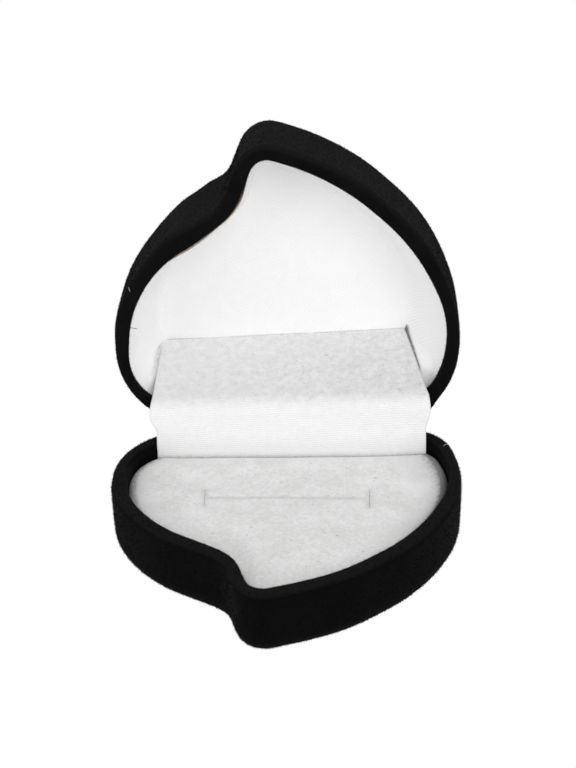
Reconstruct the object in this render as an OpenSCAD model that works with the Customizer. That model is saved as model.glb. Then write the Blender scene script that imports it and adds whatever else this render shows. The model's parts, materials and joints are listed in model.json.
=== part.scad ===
// Ring display box with a swirl-heart outline, standing open.
// Millimetres, +Z up, origin at the middle of the flat foot, back face towards +Y.
// Shells, lining and pad are lofts of one outline; the snap hinge is stamped sheet and wire.

/* [Body] */
// Width of the closed box, side to side
body_w = 62; // [54:1:80]
// Depth of the closed box, back face to tip
body_d = 53; // [46:1:70]
// Height of the base shell, foot to rim
base_h = 12.7; // [12.5:0.1:24]
// Height of the lid shell, rim to crown
lid_h = 18.5; // [16:0.5:30]
// Thickness of both rims and of the base's side wall
wall_t = 2.8; // [2.4:0.1:3.4]
// Thickness of the lid's side wall behind its rim lip
lid_wall_t = 2.2; // [1.8:0.1:2.3]
// Depth of the lip round the lid's rim, which the lining tucks under
lip_h = 1.2; // [0.8:0.1:2]
// Thickness of the base floor
floor_t = 2.5; // [1.6:0.1:2.8]
// Thickness of the lid crown
crown_t = 1.4; // [1.2:0.1:2]
// Radius of the rounding round the foot
foot_r = 3.8; // [3:0.1:4.6]
// Radius of the rounding round the lid crown
crown_r = 2.6; // [1.4:0.1:4]
// Radius of the rounded outer edge of both rims
rim_r = 1.1; // [0.5:0.1:1.4]
// Radius of the rounded inner edge of both rims
rim_inner_r = 0.5; // [0.3:0.1:0.7]
// How far the outer wall leans in between rim and foot
draft = 0.3; // [0:0.1:0.6]
// Gap between the two rims when the box is shut
rim_gap = 0.2; // [0.1:0.1:0.6]
// Angle between the shut and the open lid
open_angle = 100; // [90:1:110]

/* [Hinge] */
// Length of the hinge barrel
hinge_l = 36; // [30:1:38]
// Number of knuckles, shared by the two leaves
knuckles = 5; // [3:2:7]
// Outer radius of the curled knuckles
knuckle_r = 1.2; // [1.1:0.05:1.4]
// Radius of the hinge pin
pin_r = 0.6; // [0.5:0.05:0.65]
// Running clearance round the pin
pin_clearance = 0.05; // [0.03:0.01:0.09]
// Gap between neighbouring knuckles
knuckle_gap = 0.2; // [0.1:0.05:0.4]
// Thickness of the sheet steel leaves
leaf_t = 0.4; // [0.3:0.05:0.45]
// Reach of each leaf from the pin to its free edge
leaf_reach = 8; // [7.2:0.1:8.5]
// Radius of the heat stakes that hold the leaves
stake_r = 0.9; // [0.6:0.05:1.1]
// Distance between the two heat stakes of a leaf
stake_pitch = 26; // [22:1:28]
// Width of the snap spring
spring_w = 10; // [6:0.5:16]
// Thickness of the snap spring strip
spring_t = 0.25; // [0.2:0.05:0.35]
// Distance from the pin to the spring's hooks, down each leaf
hook_drop = 5.5; // [5:0.1:6]
// How far the snap spring bows out between its hooks
spring_bow = 4.1; // [3.9:0.1:4.5]

/* [Ring pad] */
// Depth of the pad's edge below the rim
pad_recess = 3; // [2:0.1:4.5]
// Rise of the pad's middle over its edge
pad_crown = 0.6; // [0:0.1:1.2]
// Radius of the pad's rounded edge
pad_edge_r = 1.5; // [0.8:0.1:2]
// Thickness of the flocked cover
cover_t = 0.6; // [0.4:0.1:1]
// Depth of the cover's skirt below the pad's edge
skirt_h = 4; // [3:0.1:5]
// Thickness of the backing card under the foam
board_t = 1.8; // [1:0.1:2.2]
// Length of the ring slit
slit_l = 29.5; // [20:0.5:34]
// Length of the short cuts that end the slit
slit_end_l = 5.6; // [3:0.1:8]
// Width of the slit
slit_w = 0.5; // [0.3:0.1:1]
// Distance from the back face to the slit
slit_from_back = 18.4; // [14:0.1:24]
// Foam left uncut under the slit
slit_floor = 1.2; // [0.6:0.1:2]

/* [Lining and flap] */
// Thickness of the satin of the lining and the flap
satin_t = 0.4; // [0.3:0.05:0.6]
// Thickness of the card behind the lining floor
lining_card_t = 0.8; // [0.5:0.1:1.2]
// Thickness of the wadding between card and crown
wadding_t = 1.3; // [0.6:0.1:2]
// Share of the rim opening that the flat floor of the lining keeps
floor_share = 0.82; // [0.76:0.01:0.86]
// Thickness of the satin-covered card band round the lid
band_t = 0.6; // [0.4:0.1:0.8]
// Distance from the back face to the pad's back edge
pad_from_back = 6; // [5.6:0.1:7]
// Distance from the back face to where the flap meets the lid lining
flap_from_back = 12.4; // [11:0.1:14]
// Height of the flap's fold above the pin
fold_h = 8.2; // [7:0.1:10]
// Distance of the flap's fold in front of the back face
fold_from_back = 3; // [2:0.1:4]
// Radius of the flap's soft fold
fold_r = 1; // [0.6:0.1:2.5]
// Thickness of the card strips behind the flap
flap_card_t = 0.3; // [0.2:0.05:0.35]
// Clearance of the flap at its sides and its top edge
flap_clearance = 0.3; // [0.2:0.1:0.8]

/* [Hidden] */

glue_gap = 0.05;      // flat faces that are glued lie this far apart
soft_gap = 0.2;       // soft pieces keep this far from the walls
over = 1;             // cuts run past the faces that they open by this much
least_r = 0.4;        // least radius of a fillet inside a shell
arc_step = 8;         // degrees between the points of an arc of the outline
round_steps = 4;      // steps of each rounding seen in section
$fn = 48;

axis_y = body_d / 2;                   // the pin lies in the plane of the back face
axis_z = base_h + rim_gap / 2;         // and half way between the two rims
inner_fillet = max(foot_r - wall_t, least_r);
lid_fillet = max(crown_r - crown_t, least_r);
bore_r = pin_r + pin_clearance;
base_seat = wall_t - leaf_t;           // the leaves lie flush in pockets of the back walls,
lid_seat = lid_wall_t - leaf_t;        // at these distances from the back face
leaf_edge = -knuckle_r + leaf_t;       // top of the web that joins plate and knuckles
barrel_gap = 0.3;                      // room round the barrel in the shells' rims
pin_head_t = 0.4;
pin_head_gap = 0.1;
notch_drop = knuckle_r + barrel_gap;   // depth of the barrel's notch below the pin
notch_l = hinge_l + 2 * (pin_head_t + pin_head_gap + glue_gap + soft_gap);
pocket_gap = 0.2;                      // room round a leaf in its pocket
stake_drop = 4.6;                      // heat stakes and holes below the pin
stake_gap = 0.1;
stake_head_t = 0.5;
stake_head_rim = 0.7;                  // how far a melted head stands out over its hole
stake_head_bevel = 0.5;

// ---------------------------------------------------------------- outline
// Corners of the swirl heart seen from above: [share of width from the middle,
// share of depth from the back face, share of the shorter side beside the corner
// that its rounding takes up]. The two widest corners stand outside the box,
// because their arcs round them off. Neighbours' roundings never meet, at any
// width and depth, because the shares of one side add up to less than all of it.
outline_corners = [
    [0.445, 0.00, 0.40],    // back right
    [0.514, 0.343, 0.46],   // right lobe
    [0.412, 0.661, 0.50],   // right front
    [0.171, 0.917, 0.47],   // front, right of the tip
    [-0.115, 1.029, 0.47],  // tip
    [-0.168, 0.795, 0.215], // notch beside the tip
    [-0.405, 0.62, 0.57],   // left front
    [-0.503, 0.40, 0.40],   // left lobe
    [-0.49, 0.00, 0.675]    // back left
];
function corner_point(i) = let (c = outline_corners[i]) [c[0] * body_w, c[1] * body_d];
function unit(v) = v / norm(v);
function cross2(a, b) = a[0] * b[1] - a[1] * b[0];

// Points of one rounded corner as [point, outward normal]: an arc that touches
// the two sides, whose centre lies on the bisector.
function corner_arc(i) =
    let (
        n = len(outline_corners),
        p = corner_point(i),
        before = corner_point((i + n - 1) % n) - p,
        after = corner_point((i + 1) % n) - p,
        a = unit(before),
        b = unit(after),
        half = acos(a * b) / 2,
        reach = outline_corners[i][2] * min(norm(before), norm(after)),
        r = reach * tan(half),
        centre = p + unit(a + b) * r / sin(half),
        from = p + a * reach - centre,
        turn = 2 * (90 - half),
        hollow = cross2(a, b) > 0,
        way = hollow ? -1 : 1,
        steps = ceil(turn / arc_step),
        start = atan2(from[1], from[0])
    )
    [for (k = [0 : steps])
        let (t = start + way * turn * k / steps, d = [cos(t), sin(t)])
        [centre + r * d, hollow ? -d : d]];
outline = [for (i = [0 : len(outline_corners) - 1]) each corner_arc(i)];
// The hinge is centred on the straight stretch of the back.
hinge_x = (outline[0][0][0] + outline[len(outline) - 1][0][0]) / 2;

// One ring of the outline at height z, moved in by inset along the normals.
middle = [-0.09 * body_w, 0.47 * body_d];   // the flat lining shrinks towards this point
function flat_ring(inset, share = 1) =
    [for (q = outline)
        let (p = q[0] - q[1] * inset, s = middle + (p - middle) * share)
        [s[0], axis_y - s[1]]];
function ring(z, inset, share = 1) = [for (p = flat_ring(inset, share)) [p[0], p[1], z]];
middle_xy = [middle[0], axis_y - middle[1]];

// Left and right ends of a ring along the line that lies this far from the back face.
function crossings(points, from_back) =
    let (y = axis_y - from_back, n = len(points))
    [for (i = [0 : n - 1])
        let (a = points[i], b = points[(i + 1) % n])
        if ((a[1] - y) * (b[1] - y) < 0) a[0] + (b[0] - a[0]) * (y - a[1]) / (b[1] - a[1])];
function span(points, from_back) = let (x = crossings(points, from_back)) [min(x), max(x)];

// Solid between two middle points, through a list of rings.
module loft(rings, z_first, z_last) {
    n = len(rings[0]);
    m = len(rings);
    points = concat([for (r = rings) each r],
        [[middle_xy[0], middle_xy[1], z_first], [middle_xy[0], middle_xy[1], z_last]]);
    sides = [for (j = [0 : m - 2], i = [0 : n - 1])
        let (k = (i + 1) % n, a = j * n + i, b = j * n + k, c = a + n, d = b + n)
        each [[a, b, d], [a, d, c]]];
    first = [for (i = [0 : n - 1]) [m * n, (i + 1) % n, i]];
    last = [for (i = [0 : n - 1]) [m * n + 1, (m - 1) * n + i, (m - 1) * n + (i + 1) % n]];
    polyhedron(points = points, faces = concat(sides, first, last));
}

// Quarter round in section: [share of the radius outwards, share upwards].
function quarter(k) = let (t = 90 * k / round_steps) [1 - sin(t), 1 - cos(t)];

// ---------------------------------------------------------------- shells
// Open cup of the outline, foot at z = 0 and rim at z = height. A wall thinner than
// the rim starts behind a lip.
module cup(height, wall, floor, edge_r, fillet_r) {
    foot = [for (k = [0 : round_steps]) let (q = quarter(k))
        ring(edge_r * q[1], draft + edge_r * q[0])];
    outer_rim = [for (k = [round_steps : -1 : 0]) let (q = quarter(k))
        ring(height - rim_r * q[1], rim_r * q[0])];
    inner_rim = [for (k = [0 : round_steps]) let (q = quarter(k))
        ring(height - rim_inner_r * q[1], wall_t - rim_inner_r * q[0])];
    step = wall_t - wall;
    lip = step > 0 ? [ring(height - lip_h, wall_t), ring(height - lip_h - step, wall)] : [];
    inside = [for (k = [round_steps : -1 : 0]) let (q = quarter(k))
        ring(floor + fillet_r * q[1], wall + fillet_r * q[0])];
    loft(concat(foot, outer_rim, inner_rim, lip, inside), 0, floor);
}

// Runs along X from the middle, in a plane of [distance from the back face, height].
module along_x(length)
    rotate([90, 0, 90]) translate([0, 0, -length / 2])
        linear_extrude(height = length) mirror([1, 0]) children();

// The hinge's own frame: pin along X at the origin, leaf and shell wall below it.
// Cuts the barrel's notch through the rim and the leaf's pocket into the inner face.
module hinge_seat(seat) {
    reach = wall_t + over;
    translate([-notch_l / 2, -reach, -notch_drop])
        cube([notch_l, reach + over, notch_drop + over]);
    translate([-hinge_l / 2 - pocket_gap, -reach, -leaf_reach - pocket_gap])
        cube([hinge_l + 2 * pocket_gap, reach - seat + glue_gap, leaf_reach]);
}

module heat_stakes(seat) {
    for (side = [-1, 1])
        translate([side * stake_pitch / 2, 0, -stake_drop]) rotate([90, 0, 0]) {
            translate([0, 0, seat - over])
                cylinder(r = stake_r, h = over + leaf_t + stake_head_t / 2);
            translate([0, 0, seat + leaf_t + glue_gap])
                cylinder(r1 = stake_r + stake_head_rim, r2 = stake_r + stake_head_rim - stake_head_bevel,
                    h = stake_head_t);
        }
}

module at_pin() translate([hinge_x, axis_y, axis_z]) children();

// Turns what is drawn in its shut place to the open place about the pin.
module opened() at_pin() rotate([-open_angle, 0, 0]) translate([-hinge_x, -axis_y, -axis_z]) children();

module base_shell() color("#141416") {
    difference() {
        cup(base_h, wall_t, floor_t, foot_r, inner_fillet);
        at_pin() hinge_seat(base_seat);
    }
    at_pin() heat_stakes(base_seat);
}

module lid_shell() color("#1a1a1c") opened() {
    difference() {
        translate([0, 0, axis_z + rim_gap / 2 + lid_h]) mirror([0, 0, 1])
            cup(lid_h, lid_wall_t, crown_t, crown_r, lid_fillet);
        at_pin() mirror([0, 0, 1]) hinge_seat(lid_seat);
    }
    at_pin() mirror([0, 0, 1]) heat_stakes(lid_seat);
}

// ---------------------------------------------------------------- snap hinge
knuckle_pitch = hinge_l / knuckles;
leaf_corner_r = 1.5;
window_gap = 0.3;     // room round the spring's hook in its window
hook_room = 0.65;     // from the leaf's face to the spring's bend
function knuckle_x(i) = -hinge_l / 2 + knuckle_pitch * (i + 0.5);

// One stamped leaf below the pin, with every second knuckle from the first one.
module hinge_leaf(first, seat) {
    window_w = spring_w + 2 * window_gap;
    window_h = spring_t + 2 * window_gap;
    plate_y = -seat - leaf_t;
    difference() {
        union() {
            // plate with rounded lower corners
            translate([0, plate_y + leaf_t, 0]) rotate([90, 0, 0]) linear_extrude(height = leaf_t)
                union() {
                    translate([-hinge_l / 2, -leaf_reach + leaf_corner_r])
                        square([hinge_l, leaf_reach - leaf_corner_r + leaf_edge]);
                    translate([-hinge_l / 2 + leaf_corner_r, -leaf_reach])
                        square([hinge_l - 2 * leaf_corner_r, leaf_corner_r + glue_gap]);
                    for (side = [-1, 1])
                        translate([side * (hinge_l / 2 - leaf_corner_r), -leaf_reach + leaf_corner_r])
                            circle(r = leaf_corner_r);
                }
            for (i = [first : 2 : knuckles - 1])
                translate([knuckle_x(i), 0, 0]) {
                    along_x(knuckle_pitch - knuckle_gap) circle(r = knuckle_r);
                    translate([-(knuckle_pitch - knuckle_gap) / 2, plate_y, -knuckle_r])
                        cube([knuckle_pitch - knuckle_gap, -plate_y, leaf_t]);
                }
        }
        along_x(hinge_l + 2 * over) circle(r = bore_r);
        // window that the spring hooks into
        translate([-window_w / 2, plate_y - over, -hook_drop - window_h / 2])
            cube([window_w, leaf_t + 2 * over, window_h]);
        for (side = [-1, 1])
            translate([side * stake_pitch / 2, plate_y - over, -stake_drop])
                rotate([-90, 0, 0]) cylinder(r = stake_r + stake_gap, h = leaf_t + 2 * over);
    }
}

module base_hinge_leaf() color("#b9b4a6") at_pin() hinge_leaf(0, base_seat);

module lid_hinge_leaf() color("#b9b4a6") opened() at_pin() mirror([0, 0, 1]) hinge_leaf(1, lid_seat);

// Drawn wire with both ends upset into low heads outside the barrel.
module hinge_pin() color("#c9c9cc") at_pin() {
    head_x = hinge_l / 2 + pin_head_gap;
    along_x(2 * head_x + pin_head_t) circle(r = pin_r);
    for (side = [-1, 1])
        translate([side * (head_x + pin_head_t / 2), 0, 0])
            along_x(pin_head_t) circle(r = (pin_r + knuckle_r) / 2);
}

// Path offset to one side by d, with mitred corners. Points are [from back, height].
function path_normal(p, i) =
    let (
        n = len(p),
        a = unit(p[min(i + 1, n - 1)] - p[min(i, n - 2)]),
        b = unit(p[max(i, 1)] - p[max(i - 1, 0)]),
        s = unit(a + b)
    )
    [-s[1], s[0]] / (s * a);
function beside(p, d) = [for (i = [0 : len(p) - 1]) p[i] + path_normal(p, i) * d];
function strip(p, t) = let (n = len(p), a = beside(p, t / 2), b = beside(p, -t / 2))
    concat(a, [for (i = [n - 1 : -1 : 0]) b[i]]);
// Turns a point of the shut lid, [from back, height above the pin], to the open place.
function open_point(p) =
    [p[0] * cos(open_angle) - p[1] * sin(open_angle), p[0] * sin(open_angle) + p[1] * cos(open_angle)];

// The bowed strip leaves the base leaf's window, rounds the barrel and hooks the lid leaf.
module snap_spring() color("#d8d8dc") at_pin() {
    hook_in = leaf_t + hook_room;          // from each leaf's seat to the strip's bend
    foot = [base_seat + glue_gap, -hook_drop];
    knee = [base_seat + hook_in, -hook_drop];
    far_foot = open_point([lid_seat + glue_gap, hook_drop]);
    far_knee = open_point([lid_seat + hook_in, hook_drop]);
    chord = norm(far_knee - knee);
    along = unit(far_knee - knee);
    out = [along[1], -along[0]];
    radius = chord * chord / (8 * spring_bow) + spring_bow / 2;
    centre = (knee + far_knee) / 2 - out * (radius - spring_bow);
    half_turn = acos((radius - spring_bow) / radius);
    steps = 24;
    bow = [for (k = [0 : steps]) let (t = half_turn * (2 * k / steps - 1))
        centre + radius * (out * cos(t) + along * sin(t))];
    along_x(spring_w) polygon(strip(concat([foot], bow, [far_foot]), spring_t));
}

// ---------------------------------------------------------------- ring pad
pad_z = base_h - pad_recess;
pad_inset = wall_t + soft_gap;
board_inset = wall_t + inner_fillet + glue_gap;
foam_z = floor_t + glue_gap + board_t + glue_gap;

// What lies behind the pad's back edge is cut away.
module ahead_of_flap(extra = 0)
    intersection() {
        children();
        translate([-body_w, axis_y - pad_from_back - extra - 2 * body_d, -over])
            cube([2 * body_w, 2 * body_d, base_h + pad_crown + 2 * over]);
    }

// Body of the pad: straight sides, rounded edge and a low crown.
module pad_block(z_foot, inward) {
    sides = [ring(z_foot, pad_inset + inward)];
    edge_r = max(pad_edge_r - inward, soft_gap);
    edge = [for (k = [round_steps : -1 : 0]) let (q = quarter(k))
        ring(pad_z - inward - edge_r * q[1], pad_inset + inward + edge_r * q[0])];
    crown = [for (s = [0.8, 0.55, 0.28])
        ring(pad_z - inward + pad_crown * (1 - s * s), pad_inset + inward + edge_r, s)];
    loft(concat(sides, edge, crown), z_foot, pad_z - inward + pad_crown);
}

// The ring slit: one long cut between two short cross cuts.
module slit(z_floor) {
    centre_y = axis_y - slit_from_back;
    depth = pad_z + pad_crown + over - z_floor;
    translate([-slit_l / 2, centre_y - slit_w / 2, z_floor]) cube([slit_l, slit_w, depth]);
    for (side = [-1, 1])
        translate([side * slit_l / 2 - slit_w / 2, centre_y - slit_end_l / 2, z_floor])
            cube([slit_w, slit_end_l, depth]);
}

module pad_cover() color("#dcdad8")
    difference() {
        ahead_of_flap() pad_block(pad_z - skirt_h, 0);
        ahead_of_flap(cover_t) pad_block(pad_z - skirt_h - over, cover_t);
        slit(0);
    }

module pad_foam() color("#e8e2c8")
    difference() {
        ahead_of_flap(cover_t + glue_gap) pad_block(foam_z, cover_t + glue_gap);
        slit(foam_z + slit_floor);
    }

module pad_board() color("#a88c66")
    ahead_of_flap(soft_gap)
        translate([0, 0, floor_t + glue_gap]) linear_extrude(height = board_t)
            polygon(flat_ring(board_inset));

// ---------------------------------------------------------------- lid lining
lid_roof = lid_h + rim_gap / 2 - crown_t;              // height of the crown's inner face over the pin
lining_h = lid_roof - wadding_t - lining_card_t - satin_t - 3 * glue_gap;
card_share = floor_share + 0.02;
band_from_back = pad_from_back - wall_t;   // the band's ends lie beside the flap

module lid_plate(height, thickness, share)
    opened() translate([0, 0, axis_z + height]) linear_extrude(height = thickness)
        polygon(flat_ring(wall_t, share));

module lid_lining_floor() color("#f2f2f0") lid_plate(lining_h, satin_t, floor_share);

module lid_lining_card() color("#9a7b5c")
    lid_plate(lining_h + satin_t + glue_gap, lining_card_t, card_share);

module lid_lining_wadding() color("#ededea")
    lid_plate(lid_roof - wadding_t - glue_gap, wadding_t, card_share);

// Sheet with thickness: two grids of points joined along their edges.
module sheet(front, back) {
    rows = len(front);
    n = len(front[0]);
    half = rows * n;
    points = concat([for (r = front) each r], [for (r = back) each r]);
    faces = concat(
        [for (j = [0 : rows - 2], i = [0 : n - 2]) let (a = j * n + i)
            each [[a, a + 1, a + n + 1], [a, a + n + 1, a + n]]],
        [for (j = [0 : rows - 2], i = [0 : n - 2]) let (a = half + j * n + i)
            each [[a, a + n + 1, a + 1], [a, a + n, a + n + 1]]],
        [for (i = [0 : n - 2]) each [[i + half, i + 1, i], [i + half, i + 1 + half, i + 1]]],
        [for (i = [0 : n - 2]) let (a = (rows - 1) * n + i)
            each [[a, a + 1, a + half], [a + 1, a + 1 + half, a + half]]],
        [for (j = [0 : rows - 2]) let (a = j * n)
            each [[a, a + n, a + half], [a + n, a + n + half, a + half]]],
        [for (j = [0 : rows - 2]) let (a = j * n + n - 1)
            each [[a, a + half, a + n], [a + n, a + half, a + n + half]]]
    );
    polyhedron(points = points, faces = faces);
}

// The band stands in the lid from the lip to the lining floor and stops beside the flap.
module lid_lining_band() color("#f2f2f0") opened() {
    lower = rim_gap / 2 + lip_h + wall_t - lid_wall_t;
    upper = lining_h - glue_gap;
    steps = 3;
    band_row = function (k, outward)
        let (
            f = k / steps,
            height = lower + (upper - lower) * f,
            share = 1 - (1 - floor_share) * pow(f, 1.3),
            inset = lid_wall_t + soft_gap + band_t - outward,
            full = ring(axis_z + height, inset, share)
        )
        [for (i = [0 : len(full) - 1])
            if (outline[i][0][1] > band_from_back) full[i]];
    sheet([for (k = [0 : steps]) band_row(k, band_t)], [for (k = [0 : steps]) band_row(k, 0)]);
}

// ---------------------------------------------------------------- hinge flap
flap_gap = glue_gap + soft_gap;
flap_tail = [pad_from_back - flap_gap - satin_t / 2, pad_z - skirt_h - axis_z];
flap_rim = [flap_tail[0], barrel_gap];   // upright past the rim, then it leans back
flap_fold = [fold_from_back, fold_h];
flap_top = open_point([flap_from_back, lining_h - flap_clearance]);

// Round turn of radius r at point b of the path a, b, c.
function soft_turn(a, b, c, r) =
    let (
        u = unit(a - b),
        v = unit(c - b),
        half = acos(u * v) / 2,
        centre = b + unit(u + v) * r / sin(half),
        from = b + u * r / tan(half) - centre,
        to = b + v * r / tan(half) - centre,
        turn = acos(from * to / (r * r)) * sign(cross2(from, to)),
        start = atan2(from[1], from[0])
    )
    [for (k = [0 : 6]) let (t = start + turn * k / 6) centre + r * [cos(t), sin(t)]];

flap_path = concat([flap_tail, flap_rim],
    soft_turn(flap_rim, flap_fold, flap_top, fold_r), [flap_top]);

flap_flare = 0.6;         // how far the fold stands out past the flap's lower edges
flap_card_inset = 1.2;    // how far the card strips stop short of the satin's edges

// Outline of the flap seen from above: as wide as the pad's back edge below,
// a little wider at the fold, and drawn in to the lining floor above.
module flap_taper(margin = 0) {
    low = span(flat_ring(wall_t), flap_tail[0] - satin_t / 2);
    high = span(flat_ring(wall_t, floor_share), flap_from_back);
    stations = [
        [axis_y - flap_rim[0] - over, low[0] + flap_clearance, low[1] - flap_clearance],
        [axis_y - flap_rim[0] + barrel_gap, low[0] + flap_clearance, low[1] - flap_clearance],
        [axis_y - fold_from_back, low[0] - flap_flare, low[1] + flap_flare],
        [axis_y - flap_top[0] + over, high[0] + flap_clearance, high[1] - flap_clearance]
    ];
    translate([0, 0, -over]) linear_extrude(height = axis_z + max(fold_h, flap_top[1]) + 2 * over)
        polygon(concat(
            [for (s = stations) [s[1] + margin, s[0]]],
            [for (i = [3 : -1 : 0]) [stations[i][2] - margin, stations[i][0]]]));
}

module hinge_flap() color("#f0f0ee")
    intersection() {
        at_pin() along_x(2 * body_w) polygon(strip(flap_path, satin_t));
        flap_taper();
    }

// Card strips glued to the hidden side of the flap, one to each panel.
module hinge_flap_cards() color("#b09a78") {
    clear = satin_t / 2 + glue_gap + flap_card_t / 2;
    short = fold_r + flap_card_inset / 2;
    low_way = unit(flap_fold - flap_rim);
    top_way = unit(flap_top - flap_fold);
    panels = [
        [flap_rim + low_way * flap_card_inset, flap_fold - low_way * short],
        [flap_fold + top_way * short, flap_top - top_way * flap_card_inset / 2]
    ];
    intersection() {
        at_pin() for (panel = panels)
            along_x(2 * body_w) polygon(strip(beside(panel, clear), flap_card_t));
        flap_taper(flap_card_inset);
    }
}

base_shell();
lid_shell();
base_hinge_leaf();
lid_hinge_leaf();
hinge_pin();
snap_spring();
pad_cover();
pad_foam();
pad_board();
lid_lining_floor();
lid_lining_band();
lid_lining_card();
lid_lining_wadding();
hinge_flap();
hinge_flap_cards();
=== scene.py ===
"""Swirl-heart ring display box, dressed around its packed construction.

The box is black nylon flock on two moulded shells, with a white flocked ring pad
in the base and white satin in the lid and on the hinge flap. Every length is in
metres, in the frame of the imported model: X right, Y towards the hinge, Z up.
"""

import json
import logging
import math
from abc import ABC, abstractmethod
from collections.abc import Callable
from dataclasses import dataclass
from enum import Enum
from functools import partial

import bpy
import numpy as np
from mathutils import Matrix


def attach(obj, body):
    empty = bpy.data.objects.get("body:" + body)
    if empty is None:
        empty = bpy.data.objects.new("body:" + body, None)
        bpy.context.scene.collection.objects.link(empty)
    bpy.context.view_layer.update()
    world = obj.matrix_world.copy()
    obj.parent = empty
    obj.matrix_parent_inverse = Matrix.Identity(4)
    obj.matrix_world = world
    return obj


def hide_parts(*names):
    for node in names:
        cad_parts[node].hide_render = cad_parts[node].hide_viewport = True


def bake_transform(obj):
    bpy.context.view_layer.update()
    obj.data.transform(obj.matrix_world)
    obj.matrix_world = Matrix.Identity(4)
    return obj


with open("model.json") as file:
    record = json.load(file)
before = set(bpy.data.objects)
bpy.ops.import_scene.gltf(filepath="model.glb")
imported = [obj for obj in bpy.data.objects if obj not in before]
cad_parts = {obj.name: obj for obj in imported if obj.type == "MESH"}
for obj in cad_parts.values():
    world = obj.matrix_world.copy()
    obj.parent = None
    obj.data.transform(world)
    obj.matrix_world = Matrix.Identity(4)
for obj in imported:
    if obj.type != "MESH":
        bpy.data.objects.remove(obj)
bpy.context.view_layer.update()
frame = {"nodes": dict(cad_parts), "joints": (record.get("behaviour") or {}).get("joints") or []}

log = logging.getLogger("ring_box")

MM = 0.001
WEAVE_MAP = "weave"
SHADE_AND_DUST = "soil"
RIBS_AND_LIGHT = "ribs"
WHITE = "#ffffff"

Spots = tuple[tuple[float, float, float, float], ...]
Faces = list[np.ndarray]
Node = bpy.types.Node
Socket = bpy.types.NodeSocket
Adder = Callable[..., Node]
Piece = bpy.types.Object


class Body(Enum):
    """The two halves of the box that move against each other."""

    BASE = "base"
    LID = "lid"


# ---------------------------------------------------------------- small tools
def smooth(t: np.ndarray) -> np.ndarray:
    """Ease t from 0 to 1: t squared times (3 minus 2 t), flat at both ends."""
    t = np.clip(t, 0.0, 1.0)
    return t * t * (3.0 - 2.0 * t)


def window(x: np.ndarray, low: float, high: float, soft: float) -> np.ndarray:
    """Give 1 between low and high and 0 outside, with soft ends of that width."""
    return smooth((x - low) / soft + 0.5) * smooth((high - x) / soft + 0.5)


def unit(vectors: np.ndarray) -> np.ndarray:
    """Divide each vector of the last axis by its length."""
    return vectors / np.linalg.norm(vectors, axis=-1, keepdims=True)


def waves(points: np.ndarray, length: float, seed: int) -> np.ndarray:
    """Add up seven plane sine waves in seeded directions, to about -1 to 1.

    Args:
        points: places to read the waves at, in the last axis.
        length: middle wavelength in metres.
        seed: seed of the directions, phases and wavelengths.

    Returns:
        One number for each point.
    """
    count = 7
    rng = np.random.default_rng(seed)
    ways = unit(rng.normal(size=(count, points.shape[-1])))
    spans = length * rng.uniform(0.7, 1.5, count)
    shifts = rng.uniform(0.0, 2.0 * np.pi, count)
    return np.sin(2.0 * np.pi * (points @ ways.T) / spans + shifts).sum(-1) / math.sqrt(count)


def spotted(points: np.ndarray, spots: Spots) -> np.ndarray:
    """Add up soft round spots, each an x, a distance from the back, a reach and a size, in mm."""
    total = np.zeros(points.shape[:-1])
    for x, back, reach, size in np.array(spots).reshape(-1, 4) * MM:
        total += size * np.exp(-((np.linalg.norm(points - (x, back), axis=-1) / reach) ** 2))
    return total


def quarter(radius: float, steps: int) -> tuple[np.ndarray, np.ndarray]:
    """Give a quarter round in section, as distance in and distance up from its foot."""
    turn = np.linspace(0.0, np.pi / 2.0, steps)
    return radius * (1.0 - np.sin(turn)), radius * (1.0 - np.cos(turn))


def grid_quads(rows: int, columns: int, closed: bool) -> np.ndarray:
    """List the four corners of every cell of a grid of points.

    Args:
        rows: number of rows.
        columns: number of points in a row.
        closed: whether each row runs round to its own start.

    Returns:
        An array of corner numbers, four to a face.
    """
    across = columns if closed else columns - 1
    row, column = np.meshgrid(np.arange(rows - 1), np.arange(across), indexing="ij")
    a = row * columns + column
    b = row * columns + (column + 1) % columns
    return np.stack([a, b, b + columns, a + columns], -1).reshape(-1, 4)


def fan(middle: int, first: int, columns: int) -> np.ndarray:
    """List the triangles between one middle point and a closed row of points."""
    column = np.arange(columns)
    return np.stack([np.full(columns, middle), first + (column + 1) % columns, first + column], -1)


def signed_volume(points: np.ndarray, faces: Faces) -> float:
    """Sum the tetrahedra between the origin and each face, negative if inside out."""
    total = 0.0
    for group in faces:
        a = points[group[:, 0]]
        for k in range(1, group.shape[1] - 1):
            total += np.einsum("ij,ij->i", a, np.cross(points[group[:, k]], points[group[:, k + 1]])).sum()
    return total / 6.0


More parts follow.
